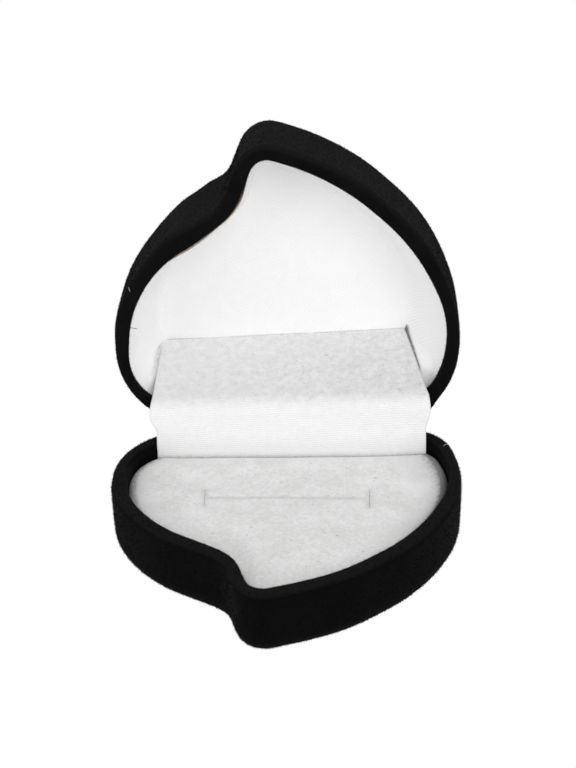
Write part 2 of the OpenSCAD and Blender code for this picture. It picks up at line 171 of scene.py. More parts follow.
def make_piece(
    name: str,
    points: np.ndarray,
    faces: Faces,
    finish: "Finish",
    closed: bool = True,
    weave: np.ndarray | None = None,
    attributes: dict[str, np.ndarray] | None = None,
    sharp_angle: float = 50.0,
) -> Piece:
    """Make a smooth-shaded mesh object whose place is in its mesh.

    Args:
        name: name of the piece.
        points: vertices, three numbers each.
        faces: arrays of corner numbers, one for each number of corners.
        finish: finish of the whole piece.
        closed: whether the mesh is a solid, whose faces are then turned outwards.
        weave: the cloth's own coordinates in metres, two numbers a vertex.
        attributes: further numbers a vertex, by name.
        sharp_angle: angle in degrees past which an edge is shaded sharp.

    Returns:
        The new object.
    """
    points = points.reshape(-1, 3)
    if closed and signed_volume(points, faces) < 0.0:
        faces = [group[:, ::-1] for group in faces]
    mesh = bpy.data.meshes.new(name)
    mesh.from_pydata(points.tolist(), [], [f for group in faces for f in group.tolist()])
    mesh.polygons.foreach_set("use_smooth", np.ones(len(mesh.polygons), bool))
    mesh.set_sharp_from_angle(angle=math.radians(sharp_angle))
    if weave is not None:
        corner = np.zeros(len(mesh.loops), np.int64)
        mesh.loops.foreach_get("vertex_index", corner)
        layer = mesh.uv_layers.new(name=WEAVE_MAP)
        layer.data.foreach_set("uv", weave.reshape(-1, 2)[corner].astype(np.float32).ravel())
    for key, values in (attributes or {}).items():
        mesh.attributes.new(key, "FLOAT", "POINT").data.foreach_set("value", values.astype(np.float32).ravel())
    mesh.materials.append(finish.material())
    mesh.update()
    return in_scene(name, mesh)


def in_scene(name: str, data: bpy.types.ID, place: np.ndarray | None = None) -> Piece:
    """Make an object of that mesh, lamp or camera, at a place given as a matrix."""
    made = bpy.data.objects.new(name, data)
    if place is not None:
        made.matrix_world = Matrix(place.tolist())
    bpy.context.scene.collection.objects.link(made)
    return made


def settle(piece: Piece, body: Body | None, node: str | None = None) -> Piece:
    """Hang a piece on the body it rides on, and hide the CAD node it stands for."""
    if node:
        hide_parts(node)
    if body:
        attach(piece, body.value)
    return piece


def loft_solid(rows: np.ndarray) -> tuple[np.ndarray, Faces]:
    """Close a stack of rings, of shape (rings, points, 3), with a fan of triangles at each end."""
    count, columns = rows.shape[:2]
    ends = np.stack([rows[0].mean(0), rows[-1].mean(0)])
    points = np.concatenate([rows.reshape(-1, 3), ends])
    first = fan(count * columns, 0, columns)
    last = fan(count * columns + 1, (count - 1) * columns, columns)[:, ::-1]
    return points, [grid_quads(count, columns, True)[:, ::-1], np.concatenate([first[:, ::-1], last[:, ::-1]])]


def thicken(piece: Piece, thickness: float, offset: float = -1.0) -> None:
    """Give a single surface its real thickness, on the side that offset says."""
    solid = piece.modifiers.new("thickness", "SOLIDIFY")
    solid.thickness = thickness
    solid.offset = offset
    solid.use_even_offset = True


def bake_modifiers(piece: Piece) -> None:
    """Put the result of a piece's modifiers into its mesh."""
    graph = bpy.context.evaluated_depsgraph_get()
    shaped = bpy.data.meshes.new_from_object(piece.evaluated_get(graph))
    piece.modifiers.clear()
    piece.data = shaped


def linear(hex_colour: str) -> tuple[float, float, float, float]:
    """Turn an sRGB hex colour such as #f4f4f5 into linear red, green, blue and alpha."""
    parts = [int(hex_colour[k : k + 2], 16) / 255.0 for k in (1, 3, 5)]
    return (*(c / 12.92 if c <= 0.04045 else ((c + 0.055) / 1.055) ** 2.4 for c in parts), 1.0)


def add_node(tree: bpy.types.NodeTree, kind: str, inputs: dict | None = None, **settings: object) -> Node:
    """Add one node to a shader tree.

    Args:
        tree: the material's or the world's node tree.
        kind: the node's type name, less its first word.
        inputs: socket name or number to a value, or to the output or the node that
            feeds it, whose first output in use is then taken.
        settings: values of the node's own properties.

    Returns:
        The new node.
    """
    node = tree.nodes.new(f"ShaderNode{kind}")
    for key, value in settings.items():
        setattr(node, key, value)
    for key, value in (inputs or {}).items():
        if isinstance(value, Node):
            value = next(output for output in value.outputs if output.enabled)
        if isinstance(value, Socket):
            tree.links.new(value, node.inputs[key])
        else:
            node.inputs[key].default_value = value
    return node


# ---------------------------------------------------------------- finishes
@dataclass(frozen=True)
class Finish(ABC):
    """What a surface is made of and how it was made."""

    name: str

    def material(self) -> bpy.types.Material:
        """Give the finish's material, made once for each name."""
        made = bpy.data.materials.get(self.name)
        if made is None:
            made = bpy.data.materials.new(self.name)
            made.use_nodes = True
            made.node_tree.nodes.clear()
            add = partial(add_node, made.node_tree)
            add("OutputMaterial", {"Surface": self.shader(add)})
        return made

    def shader(self, add: Adder) -> Node:
        """Feed one Principled shader."""
        return add("BsdfPrincipled", self.look(add, add("TexCoord").outputs["Object"]))

    @abstractmethod
    def look(self, add: Adder, place: Socket) -> dict[str, object]:
        """Build the nodes at each place, and give what goes into the shader's sockets."""


@dataclass(frozen=True)
class NylonFlock(Finish):
    """Short black nylon flock, shot into glue on moulded plastic.

    The pile drinks the light that meets it head on and shows a grey sheen at
    grazing angles, with clumps of fibre and a nap brushed in soft patches. Where
    it faces up, its colour is painted paler, as painted light from above.
    it faces up, handling and settled dust leave it a little paler.
    """

    pile: str
    worn: str
    topped: str
    sheen: float
    fibre_clump: float = 0.22 * MM
    nap_patch: float = 7.0 * MM

    def look(self, add: Adder, place: Socket) -> dict[str, object]:
        """Mix pile and nap by two noises, with the fine one as bump."""
        fine = add("TexNoise", {"Vector": place, "Scale": 1.0 / self.fibre_clump, "Detail": 3.0, "Roughness": 0.7})
        nap = add("TexNoise", {"Vector": place, "Scale": 1.0 / self.nap_patch, "Detail": 2.0, "Roughness": 0.5})
        both = add("Math", {0: fine, 1: nap}, operation="MULTIPLY")
        share = add("MapRange", {"Value": both, "From Min": 0.14, "From Max": 0.42})
        colour = add("Mix", {"Factor": share, 6: linear(self.pile), 7: linear(self.worn)}, data_type="RGBA")
        # Painted light: the colour turns paler where the normal faces up, as if lit from above.
        upward = add("SeparateXYZ", {0: add("NewGeometry").outputs["Normal"]}).outputs["Z"]
        up = add("MapRange", {"Value": upward, "From Min": 0.25, "From Max": 0.95}, interpolation_type="SMOOTHSTEP")
        return {
            "Base Color": add("Mix", {"Factor": up, 6: colour, 7: linear(self.topped)}, data_type="RGBA"),
            "Roughness": 0.95,
            "Specular IOR Level": 0.03,
            "Sheen Weight": self.sheen,
            "Sheen Roughness": 0.5,
            "Sheen Tint": linear("#c4c4c8"),
            "Normal": add("Bump", {"Height": fine, "Strength": 0.4, "Distance": 0.1 * MM}),
        }


@dataclass(frozen=True)
class PadFlock(Finish):
    """White viscose flock on foam, the face of the ring pad.

    It is soft and grey-white with a fine grain. A dusting from the black rim and
    painted shade grey its edges, a few dark fibres lie in it, and the pile is parted
    beside the ring slit, where painted shade darkens it.
    """

    slit_half: float
    slit_end_half: float
    slit_y: float
    slit_slope: float
    cross_share: float
    pile: str = "#f2f2f2"
    shade: str = "#dededd"
    dust: str = "#6a6a6c"
    grain: float = 0.7 * MM
    blotch: float = 4.0 * MM
    speck: float = 0.5 * MM
    parting: float = 0.85 * MM
    parting_shade: float = 0.17

    def slit_distance(self, add: Adder, place: Socket) -> Node:
        """Work out the distance to the nearest of the long cut and the cross cuts.

        The way to a cut is the root of the sum of two squares, along and across it.
        """
        axes = add("SeparateXYZ", {0: place}).outputs
        line = add("Math", {0: axes["X"], 1: self.slit_slope, 2: self.slit_y}, operation="MULTIPLY_ADD")
        off = add("Math", {0: axes["Y"], 1: line}, operation="SUBTRACT")
        across = add("Math", {0: off}, operation="ABSOLUTE")
        along = add("Math", {0: axes["X"]}, operation="ABSOLUTE")
        past = add("Math", {0: along, 1: self.slit_half}, operation="SUBTRACT")
        ahead = add("Math", {0: past, 1: 0.0}, operation="MAXIMUM")
        wide = add("Math", {0: across, 1: self.slit_end_half}, operation="SUBTRACT")
        beyond = add("Math", {0: wide, 1: 0.0}, operation="MAXIMUM")
        ways = []
        for a, b in ((ahead, across), (past, beyond)):
            square = add("Math", {0: b, 1: b}, operation="MULTIPLY")
            squares = add("Math", {0: a, 1: a, 2: square}, operation="MULTIPLY_ADD")
            ways.append(add("Math", {0: squares}, operation="SQRT"))
        cross = add("Math", {0: ways[1], 1: self.cross_share}, operation="MULTIPLY")
        return add("Math", {0: ways[0], 1: cross}, operation="MINIMUM")

    def look(self, add: Adder, place: Socket) -> dict[str, object]:
        """Lay grain, blotches, specks, a dusting with painted shade at the edges and painted shade along the parted
        slit over the colour.
        """
        grain = add("TexNoise", {"Vector": place, "Scale": 1.0 / self.grain, "Detail": 4.0, "Roughness": 0.75})
        blotch = add("TexNoise", {"Vector": place, "Scale": 1.0 / self.blotch, "Detail": 2.0})
        mottle = add("Math", {0: blotch, 1: 0.45, 2: grain}, operation="MULTIPLY_ADD")
        share = add("MapRange", {"Value": mottle, "From Min": 0.55, "From Max": 0.9})
        shown = add("Mix", {"Factor": share, 6: linear(self.shade), 7: linear(self.pile)}, data_type="RGBA")
        # Painted shade and dusting: the vertex weight, roughened by the grain, greys the pad towards the grey colour.
        soil = add("Attribute", attribute_name=SHADE_AND_DUST).outputs["Fac"]
        lift = add("Math", {0: grain, 1: 2.4, 2: -1.15}, operation="MULTIPLY_ADD")
        grained_dust_shade = add("Math", {0: soil, 1: lift}, operation="ADD")
        gate = add("Math", {0: soil, 1: grained_dust_shade}, operation="MULTIPLY")
        specks = add("TexNoise", {"Vector": place, "Scale": 1.0 / self.speck, "Detail": 1.0, "Roughness": 0.4})
        # Painted shade: the pile is darkened beside the slit and the cross cuts, as the shade in their groove.
        near = {"Value": self.slit_distance(add, place), "From Max": self.parting}
        over = (
            add("MapRange", {"Value": gate, "From Min": 0.02, "From Max": 1.1, "To Max": 0.9}),
            add("MapRange", {"Value": specks, "From Min": 0.69, "From Max": 0.8, "To Max": 0.4}),
            add("MapRange", near | {"To Min": self.parting_shade, "To Max": 0.0}, interpolation_type="SMOOTHSTEP"),
        )
        for factor in over:
            shown = add("Mix", {"Factor": factor, 6: shown, 7: linear(self.dust)}, data_type="RGBA")
        return {
            "Base Color": shown,
            "Roughness": 0.95,
            "Specular IOR Level": 0.1,
            "Sheen Weight": 0.08,
            "Sheen Roughness": 0.6,
            "Normal": add("Bump", {"Height": grain, "Strength": 0.4, "Distance": 0.1 * MM}),
        }


@dataclass(frozen=True)
class PolyesterSatin(Finish):
    """White polyester satin, woven as a fine twill and glued over card.

    The ribs catch the light in hair-fine lines at the cloth's own thread spacing.
    A vertex says how far its ribs show, and fewer ribs paint the cloth paler on
    average, as painted light; it also says how far the cloth is greyed, by loose
    fibre and by painted shade.
    """

    thread: str = "#fbfbfb"
    valley: str = "#d9d9d9"
    rib_pitch: float = 0.46 * MM
    rib_angle: float = -40.0
    slub: float = 2.2 * MM
    grain: float = 0.3 * MM
    mottle: float = 1.4 * MM
    speck: float = 0.4 * MM
    lint: str = "#7f7e7d"

    def look(self, add: Adder, place: Socket) -> dict[str, object]:
        """Run a wave along the cloth's own map for the ribs, broken by noise."""
        shows, soil = (add("Attribute", attribute_name=key).outputs["Fac"] for key in (RIBS_AND_LIGHT, SHADE_AND_DUST))
        turn = (0.0, 0.0, math.radians(90.0 - self.rib_angle))
        turned = add("Mapping", {"Vector": add("UVMap", uv_map=WEAVE_MAP), "Rotation": turn})
        scale = math.pi / 10.0 / self.rib_pitch
        wave = add(
            "TexWave", {"Vector": turned, "Scale": scale, "Distortion": 2.8, "Detail": 2.0, "Detail Scale": 1.8},
            wave_type="BANDS", bands_direction="X", wave_profile="SIN",
        ).outputs["Fac"]
        uneven = add("TexNoise", {"Vector": place, "Scale": 1.0 / self.slub, "Detail": 3.0})
        grain = add("TexNoise", {"Vector": place, "Scale": 1.0 / self.grain, "Detail": 2.0, "Roughness": 0.6})
        strong = add("MapRange", {"Value": uneven, "From Min": 0.35, "From Max": 0.65})
        swing = add("Math", {0: wave, 1: 0.8, 2: -0.4}, operation="MULTIPLY_ADD")
        rib = add("Math", {0: swing, 1: strong, 2: -0.35}, operation="MULTIPLY_ADD")
        # Painted light: where ribs show less the colour is paler on average, so this weight also paints the satin
        # lighter.
        shown_rib = add("Math", {0: rib, 1: shows, 2: 0.85}, operation="MULTIPLY_ADD")
        height = add("Math", {0: grain, 1: 0.3, 2: shown_rib}, operation="MULTIPLY_ADD")
        share = add("MapRange", {"Value": height})
        colour = add("Mix", {"Factor": share, 6: linear(self.valley), 7: linear(self.thread)}, data_type="RGBA")
        mottle = add("TexNoise", {"Vector": place, "Scale": 1.0 / self.mottle, "Detail": 4.0, "Roughness": 0.7})
        greyed = add("MapRange", {"Value": mottle, "From Min": 0.3, "From Max": 0.7, "To Min": 0.12, "To Max": 0.32})
        specks = add("TexNoise", {"Vector": place, "Scale": 1.0 / self.speck, "Detail": 1.0, "Roughness": 0.4})
        rare = add("MapRange", {"Value": specks, "From Min": 0.66, "From Max": 0.76, "To Max": 0.25})
        dust = add("Math", {0: greyed, 1: rare}, operation="ADD")
        # Painted shade and loose fibre: the vertex weight greys the satin towards the grey colour, in gaps, at seams
        # and over the flap's upper panel.
        dust_and_shade_mix = add("Math", {0: dust, 1: soil}, operation="MULTIPLY", use_clamp=True)
        return {
            "Base Color": add("Mix", {"Factor": dust_and_shade_mix, 6: colour, 7: linear(self.lint)}, data_type="RGBA"),
            "Roughness": 0.5,
            "Specular IOR Level": 0.25,
            "Sheen Weight": 0.1,
            "Sheen Roughness": 0.4,
            "Normal": add("Bump", {"Height": height, "Strength": 0.2, "Distance": 0.06 * MM}),
        }


@dataclass(frozen=True)
class FibreStock(Finish):
    """Pulp, foam, wadding or loose fibre: a dull fibrous stuff in one colour.

    It covers the raw brown card behind the satin, the pad's foam and the wadding,
    which differ in colour and in the size of their fibres or cells.
    """

    pale: str
    dark: str
    fibre: float = 0.35 * MM
    stretch: float = 3.0
    gloss: float = 0.2

    def look(self, add: Adder, place: Socket) -> dict[str, object]:
        """Colour by a noise drawn out along X, which is also the bump."""
        drawn = add("Mapping", {"Vector": place, "Scale": (1.0 / self.stretch, 1.0, 1.0)})
        noise = add("TexNoise", {"Vector": drawn, "Scale": 1.0 / self.fibre, "Detail": 5.0, "Roughness": 0.7})
        share = add("MapRange", {"Value": noise, "From Min": 0.3, "From Max": 0.7})
        return {
            "Base Color": add("Mix", {"Factor": share, 6: linear(self.dark), 7: linear(self.pale)}, data_type="RGBA"),
            "Roughness": 0.9,
            "Specular IOR Level": self.gloss,
            "Normal": add("Bump", {"Height": noise, "Strength": 0.5, "Distance": 0.1 * MM}),
        }


@dataclass(frozen=True)
class RolledSteel(Finish):
    """Cold-rolled strip steel, stamped or drawn and lightly plated.

    Rolling leaves fine lines along the strip, which spread the highlights, and the
    plating is a little duller where it has been handled.
    """

    colour: str = "#bdb7a8"
    dull: str = "#9a9384"
    roughness: float = 0.34
    line_pitch: float = 0.12 * MM
    tarnish: float = 3.0 * MM

    def look(self, add: Adder, place: Socket) -> dict[str, object]:
        """Draw rolling lines along X by a squeezed noise, for colour and roughness."""
        drawn = add("Mapping", {"Vector": place, "Scale": (0.04, 1.0, 1.0)})
        lines = add("TexNoise", {"Vector": drawn, "Scale": 1.0 / self.line_pitch, "Detail": 3.0})
        dulled = add("TexNoise", {"Vector": place, "Scale": 1.0 / self.tarnish, "Detail": 3.0})
        spread = {"To Min": self.roughness - 0.08, "To Max": self.roughness + 0.12}
        shades = {"Factor": dulled, 6: linear(self.dull), 7: linear(self.colour)}
        return {
            "Base Color": add("Mix", shades, data_type="RGBA"),
            "Metallic": 1.0,
            "Roughness": add("MapRange", {"Value": lines, "From Min": 0.3, "From Max": 0.7} | spread),
            "Normal": add("Bump", {"Height": lines, "Strength": 0.15, "Distance": 0.02 * MM}),
        }


@dataclass(frozen=True)
class StudioPaper(Finish):
    """Seamless white paper under the box.

    To the camera, and in metal and glass, it is paper-white all over; to the box
    it is plain matt white.
    """

    paper: str = "#f4f4f4"

    def look(self, add: Adder, place: Socket) -> dict[str, object]:
        """Say what the paper is to the box: matt white."""
        return {"Color": linear(self.paper)}

    def shader(self, add: Adder) -> Node:
        """Mix matt white with plain white, the latter only for the camera and in reflections."""
        matt = add("BsdfDiffuse", self.look(add, None))
        white = add("Emission", {"Color": linear(WHITE), "Strength": 1.0})
        return add("MixShader", {0: seen_ray(add), 1: matt, 2: white})


def seen_ray(add: Adder) -> Node:
    """Give 1 to a ray from the camera, a reflection or glass, and 0 to any other."""
    rays = add("LightPath").outputs
    seen = rays["Is Camera Ray"]
    for kind in ("Is Glossy Ray", "Is Transmission Ray"):
        seen = add("Math", {0: seen, 1: rays[kind]}, operation="MAXIMUM")
    return seen


# Painted light: the base and the lid wear one black flock in two tones, the lid's copy painted paler and the base's
# darker, as painted light and shade.
FLOCK_BASE = NylonFlock("black_flock_base", pile="#060606", worn="#0a0a0a", topped="#161616", sheen=0.035)
FLOCK_LID = NylonFlock("black_flock_lid", pile="#0b0b0b", worn="#121212", topped="#191919", sheen=0.02)
LINING_SATIN = PolyesterSatin("white_satin_lining", thread="#f8f8f8", valley="#e7e7e7")
FLAP_SATIN = PolyesterSatin("white_satin_flap", rib_angle=2.0, rib_pitch=0.4 * MM, slub=0.8 * MM)
CARD = FibreStock("raw_brown_card", pale="#bdaa99", dark="#7e6350")
BACKING = FibreStock("grey_brown_board", pale="#9c8a72", dark="#6f5f4c", fibre=0.5 * MM)
FOAM = FibreStock("soft_white_foam", pale="#eeeade", dark="#d6d1c0", fibre=0.6 * MM, stretch=1.0)
WADDING = FibreStock("white_wadding", pale="#f4f4f2", dark="#dededb", fibre=0.9 * MM, stretch=2.0)
LEAF_STEEL = RolledSteel("plated_leaf_steel")
PIN_STEEL = RolledSteel("drawn_pin_wire", colour="#c9c9cc", dull="#a9a9ad", roughness=0.25)
SPRING_STEEL = RolledSteel("bright_spring_strip", colour="#c4c6cb", dull="#9fa1a6", roughness=0.28)
PALE_LINT = FibreStock("pale_lint", pale="#b9b9b6", dark="#8f8f8c", fibre=0.2 * MM)
DARK_HAIR = FibreStock("dark_fibre", pale="#2a2725", dark="#171514", fibre=0.2 * MM)
# Painted light: the lid's loose fibres are painted paler than the base's, to follow their shells.
FUZZ_BASE = FibreStock("black_fibre_base", pale="#0b0b0b", dark="#070707", fibre=0.2 * MM, gloss=0.04)
FUZZ_LID = FibreStock("black_fibre_lid", pale="#131313", dark="#0e0e0e", fibre=0.2 * MM, gloss=0.04)


# ---------------------------------------------------------------- the box's own geometry
BASE_TRIMS = ((30.5, 13.0, 9.0, 0.8), (-29.0, 9.0, 7.5, 0.6), (-10.0, 46.0, 6.0, 0.4))
LID_TRIMS = ((30.0, 21.0, 10.0, 0.6), (-29.0, 8.0, 8.0, 0.9), (-20.0, 35.7, 5.5, -0.75))
PAD_LIFTS = ((31.0, 9.0, 8.0, 1.6), (19.0, 5.0, 8.0, 0.2), (-28.0, 8.0, 7.0, 0.6))
# Painted shade and dusting: a soft grey patch on the pad at its right back corner.
PAD_DUST_AND_SHADE = ((27.5, 9.5, 6.5, 0.36),)
CROWN_LUMPS = ((-13.8, 41.0, 3.2, 1.25), (-17.5, 38.0, 3.5, 0.9))
LID_LUMPS = ((-10.5, 44.0, 4.5, 0.6), (-21.0, 36.5, 4.5, 0.5), (28.0, 4.0, 4.5, -1.2))


@dataclass(frozen=True)
class Pin:
    """The hinge pin, about which all of the lid turns."""

    x: float
    y: float
    z: float
    open_angle: float

    @classmethod
    def from_joint(cls, joint: dict) -> "Pin":
        """Read the pin's place and the lid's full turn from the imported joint."""
        return cls(*joint["pos_m"], math.radians(max(joint["range_deg"])))

    def turned(self, back: np.ndarray, high: np.ndarray, way: float = 1.0) -> tuple[np.ndarray, np.ndarray]:
        """Turn a point, given as back and high, from shut to open, or open to shut for a way of -1."""
        cos, sin = math.cos(way * self.open_angle), math.sin(way * self.open_angle)
        return back * cos - high * sin, back * sin + high * cos

    def at(self, x: np.ndarray, back: np.ndarray, high: np.ndarray) -> np.ndarray:
        """Place points given by x, distance from the back face and height over the pin."""
        x, back, high = np.broadcast_arrays(x, back, high)
        return np.stack([x, self.y - back, self.z + high], -1)

    def opened(self, shut: np.ndarray) -> np.ndarray:
        """Turn points of the shut lid back about the pin to the open place."""
        return self.at(shut[..., 0], *self.turned(self.y - shut[..., 1], shut[..., 2] - self.z))


@dataclass(frozen=True)
class SwirlHeart:
    """The outline of the box seen from above: nine corners joined by tangents.

    A corner is its place as a share of the width from the middle and of the depth
    from the back face, with the share of the shorter side beside it that its
    rounding takes up.
    """

    back_y: float
    width: float = 62.0 * MM
    depth: float = 53.0 * MM
    corners: tuple[tuple[float, float, float], ...] = (
        (0.445, 0.0, 0.4),
        (0.514, 0.343, 0.46),
        (0.412, 0.661, 0.5),
        (0.171, 0.917, 0.47),
        (-0.115, 1.029, 0.47),
        (-0.168, 0.795, 0.215),
        (-0.405, 0.62, 0.57),
        (-0.503, 0.4, 0.4),
        (-0.49, 0.0, 0.675),
    )
    middle_share: tuple[float, float] = (-0.09, 0.47)
    soften: float = 0.7 * MM

    @property
    def middle(self) -> np.ndarray:
        """Give the point that shares are measured from, as x and distance from the back."""
        return np.array(self.middle_share) * (self.width, self.depth)

    def curve(self, stations: int = 900) -> tuple[np.ndarray, np.ndarray]:
        """Walk the outline in even steps.

        Each corner is an arc that touches both of its sides, so its radius is its
        reach along them times the tangent of the half angle, and its centre lies on
        the bisector at radius over the sine of the half angle. The whole walk is
        then softened along its length, so that the arcs run into one another.

        Args:
            stations: number of points.

        Returns:
            The points as x and distance from the back face, and outward normals.
        """
        places = np.array(self.corners)[:, :2] * (self.width, self.depth)
        arcs = []
        for i, here in enumerate(places):
            before, after = places[i - 1] - here, places[(i + 1) % len(places)] - here
            reach = self.corners[i][2] * min(np.linalg.norm(before), np.linalg.norm(after))
            before, after = unit(before), unit(after)
            half = math.acos(float(before @ after)) / 2.0
            radius = reach * math.tan(half)
            centre = here + unit(before + after) * radius / math.sin(half)
            start = here + before * reach - centre
            hollow = before[0] * after[1] - before[1] * after[0] > 0.0
            turn = (math.pi - 2.0 * half) * (-1.0 if hollow else 1.0)
            angle = math.atan2(start[1], start[0]) + np.linspace(0.0, turn, 60)
            arcs.append(centre + radius * np.stack([np.cos(angle), np.sin(angle)], -1))
        walk = np.concatenate([*arcs, arcs[0][:1]])
        along = np.concatenate([[0.0], np.cumsum(np.linalg.norm(np.diff(walk, axis=0), axis=1))])
        even = np.linspace(0.0, along[-1], stations, endpoint=False)
        points = np.stack([np.interp(even, along, walk[:, k]) for k in (0, 1)], -1)
        waves_per_length = np.fft.fftfreq(stations, along[-1] / stations)[:, None]
        fade = np.exp(-2.0 * (np.pi * waves_per_length * self.soften) ** 2)
        points = np.fft.ifft(np.fft.fft(points, axis=0) * fade, axis=0).real
        way = unit(np.roll(points, -1, 0) - np.roll(points, 1, 0))
        return points, np.stack([way[:, 1], -way[:, 0]], -1)

    def ring(self, inset: np.ndarray, high: np.ndarray, share: np.ndarray, stations: int = 900) -> np.ndarray:
        """Stack copies of the outline, each moved in along its normals and then shrunk.

        A point is the outline less its normal times inset, and then its share of the
        way out from the middle.

        Args:
            inset: distance moved in, one for each ring or for each point.
            high: height, one for each ring or for each point.
            share: share that each ring keeps, one for each ring.
            stations: number of points in a ring.

        Returns:
            Points of shape (rings, stations, 3), with the box shut.
        """
        points, normals = self.curve(stations)
        inset, high = (v[:, None] if v.ndim == 1 else v for v in (inset, high))
        flat = points[None] - normals[None] * inset[..., None]
        flat = self.middle + (flat - self.middle) * share[:, None, None]
        x, back, high = np.broadcast_arrays(flat[..., 0], flat[..., 1], high)
        return np.stack([x, self.back_y - back, high], -1)

    def from_back(self, points: np.ndarray) -> np.ndarray:
        """Give placed points as x and distance from the back face."""
        return np.stack([points[..., 0], self.back_y - points[..., 1]], -1)


@dataclass
class FlockedShell:
    """One moulded half of the box, flocked all over: the base, or the lid.

    Its section runs from the middle of the foot out and up the outer wall, over
    the rim and down inside to the middle of the floor.
    """

    body: Body
    outline: SwirlHeart
    pin: Pin
    finish: Finish
    height: float
    wall: float
    floor: float
    edge_r: float
    trims: Spots
    lumps: Spots = ()
    crown_lumps: Spots = ()
    rim_t: float = 2.8 * MM
    rim_r: float = 1.1 * MM
    rim_inner_r: float = 0.5 * MM
    draft: float = 0.3 * MM
    lip_h: float = 1.2 * MM
    rim_gap: float = 0.2 * MM
    leaf_t: float = 0.4 * MM
    leaf_reach: float = 8.2 * MM
    leaf_l: float = 36.4 * MM
    notch_l: float = 37.5 * MM
    notch_drop: float = 1.4 * MM
    notch_deep: float = 5.0 * MM
    notch_fade: float = 3.5 * MM
    uneven: float = 0.05 * MM
    uneven_l: float = 14.0 * MM

    @property
    def name(self) -> str:
        """Give the shell's name."""
        return f"{self.body.value}_flocked_shell"

    def section(self) -> np.ndarray:
        """List the section's points as inset, height and share, from foot to floor."""
        shares = np.array([0.03, 0.12, 0.3, 0.52, 0.72, 0.88, 0.96])
        in_foot, up_foot = quarter(self.edge_r, 12)
        in_rim, up_rim = quarter(self.rim_r, 9)
        in_lip, up_lip = quarter(self.rim_inner_r, 6)
        fillet = max(self.edge_r - self.wall, 0.6 * MM)
        in_fil, up_fil = quarter(fillet, 6)
        step = self.rim_t - self.wall
        rise = np.linspace(self.edge_r, self.height - self.rim_r, 16)[1:-1]
        lean = self.draft * (1.0 - (rise - self.edge_r) / (self.height - self.rim_r - self.edge_r))
        flat = np.linspace(self.rim_r, self.rim_t - self.rim_inner_r, 6)[1:-1]
        lip = self.height - self.lip_h
        stepped = step > 0.0
        top = lip - step if stepped else self.height - self.rim_inner_r
        fall = np.linspace(top, self.floor + fillet, 22)[1:-1]
        runs = [
            (self.draft + self.edge_r, 0.0, shares),
            (self.draft + in_foot, up_foot, 1.0),
            (lean, rise, 1.0),
            (in_rim[::-1], self.height - up_rim[::-1], 1.0),
            (flat, self.height, 1.0),
            (self.rim_t - in_lip, self.height - up_lip, 1.0),
            *([(np.array([self.rim_t, self.wall]), np.array([lip, lip - step]), 1.0)] if stepped else []),
            (self.wall, fall, 1.0),
            (self.wall + in_fil[::-1], self.floor + up_fil[::-1], 1.0),
            (self.wall + fillet, self.floor, shares[::-1]),
        ]
        return np.concatenate([np.stack(np.broadcast_arrays(*run), -1) for run in runs])

    def rows(self) -> np.ndarray:
        """Carry the section round the outline, with the hinge's notch and pocket cut in.

        Over the hinge the wall's upper part sinks by the notch's depth, and the
        inner face moves back by the leaf's thickness where the leaf lies. The wall
        stands out at the lumps, and its inner side is thinned at the trims.

        Returns:
            Points of shape (rings, stations, 3), in place.
        """
        inset, high, share = self.section().T
        points, normals = self.outline.curve()
        at_back = (points[:, 1] < 1.0 * MM).astype(float)
        notch, pocket = (
            at_back * window(points[:, 0], self.pin.x - half, self.pin.x + half, 0.3 * MM)
            for half in (self.notch_l / 2.0, self.leaf_l / 2.0)
        )
        is_wall = share > 0.99
        sink = smooth((high - self.height + self.notch_deep) / self.notch_fade) * is_wall
        inner = is_wall & (np.arange(len(inset)) > len(inset) // 2) & (inset <= self.rim_t + 0.01 * MM)
        deep = window(high, self.height - self.leaf_reach, self.height + 1.0 * MM, 0.4 * MM) * inner
        behind = np.maximum(inset - (self.wall - self.leaf_t - 0.03 * MM), 0.0)
        inside = smooth((inset - 0.8 * MM) / (1.2 * MM)) * is_wall
        moved = inset[:, None] - deep[:, None] * pocket * behind[:, None]
        moved = moved - inside[:, None] * spotted(points, self.trims)
        rings = self.outline.ring(moved, high[:, None] - sink[:, None] * notch * self.notch_drop, share)
        wobble = waves(rings[..., :2], self.uneven_l, 3 + (self.body is Body.LID)) * self.uneven
        deep_in = smooth(1.0 - high / (self.height - self.lip_h))[:, None]
        wobble = wobble + spotted(points, self.lumps) + spotted(points, self.crown_lumps) * deep_in
        rings[..., :2] += normals * (1.0, -1.0) * (wobble * is_wall[:, None])[..., None]
        if self.body is Body.LID:
            rings[..., 2] = self.pin.z + self.rim_gap / 2.0 + self.height - rings[..., 2]
            rings = self.pin.opened(rings)
        return rings

    def build(self) -> Piece:
        """Make the shell, which stands for its CAD node and rides on its body."""
        points, faces = loft_solid(self.rows())
        piece = make_piece(self.name, points, faces, self.finish, sharp_angle=60.0)
        return settle(piece, self.body, f"{self.body.value}_shell")


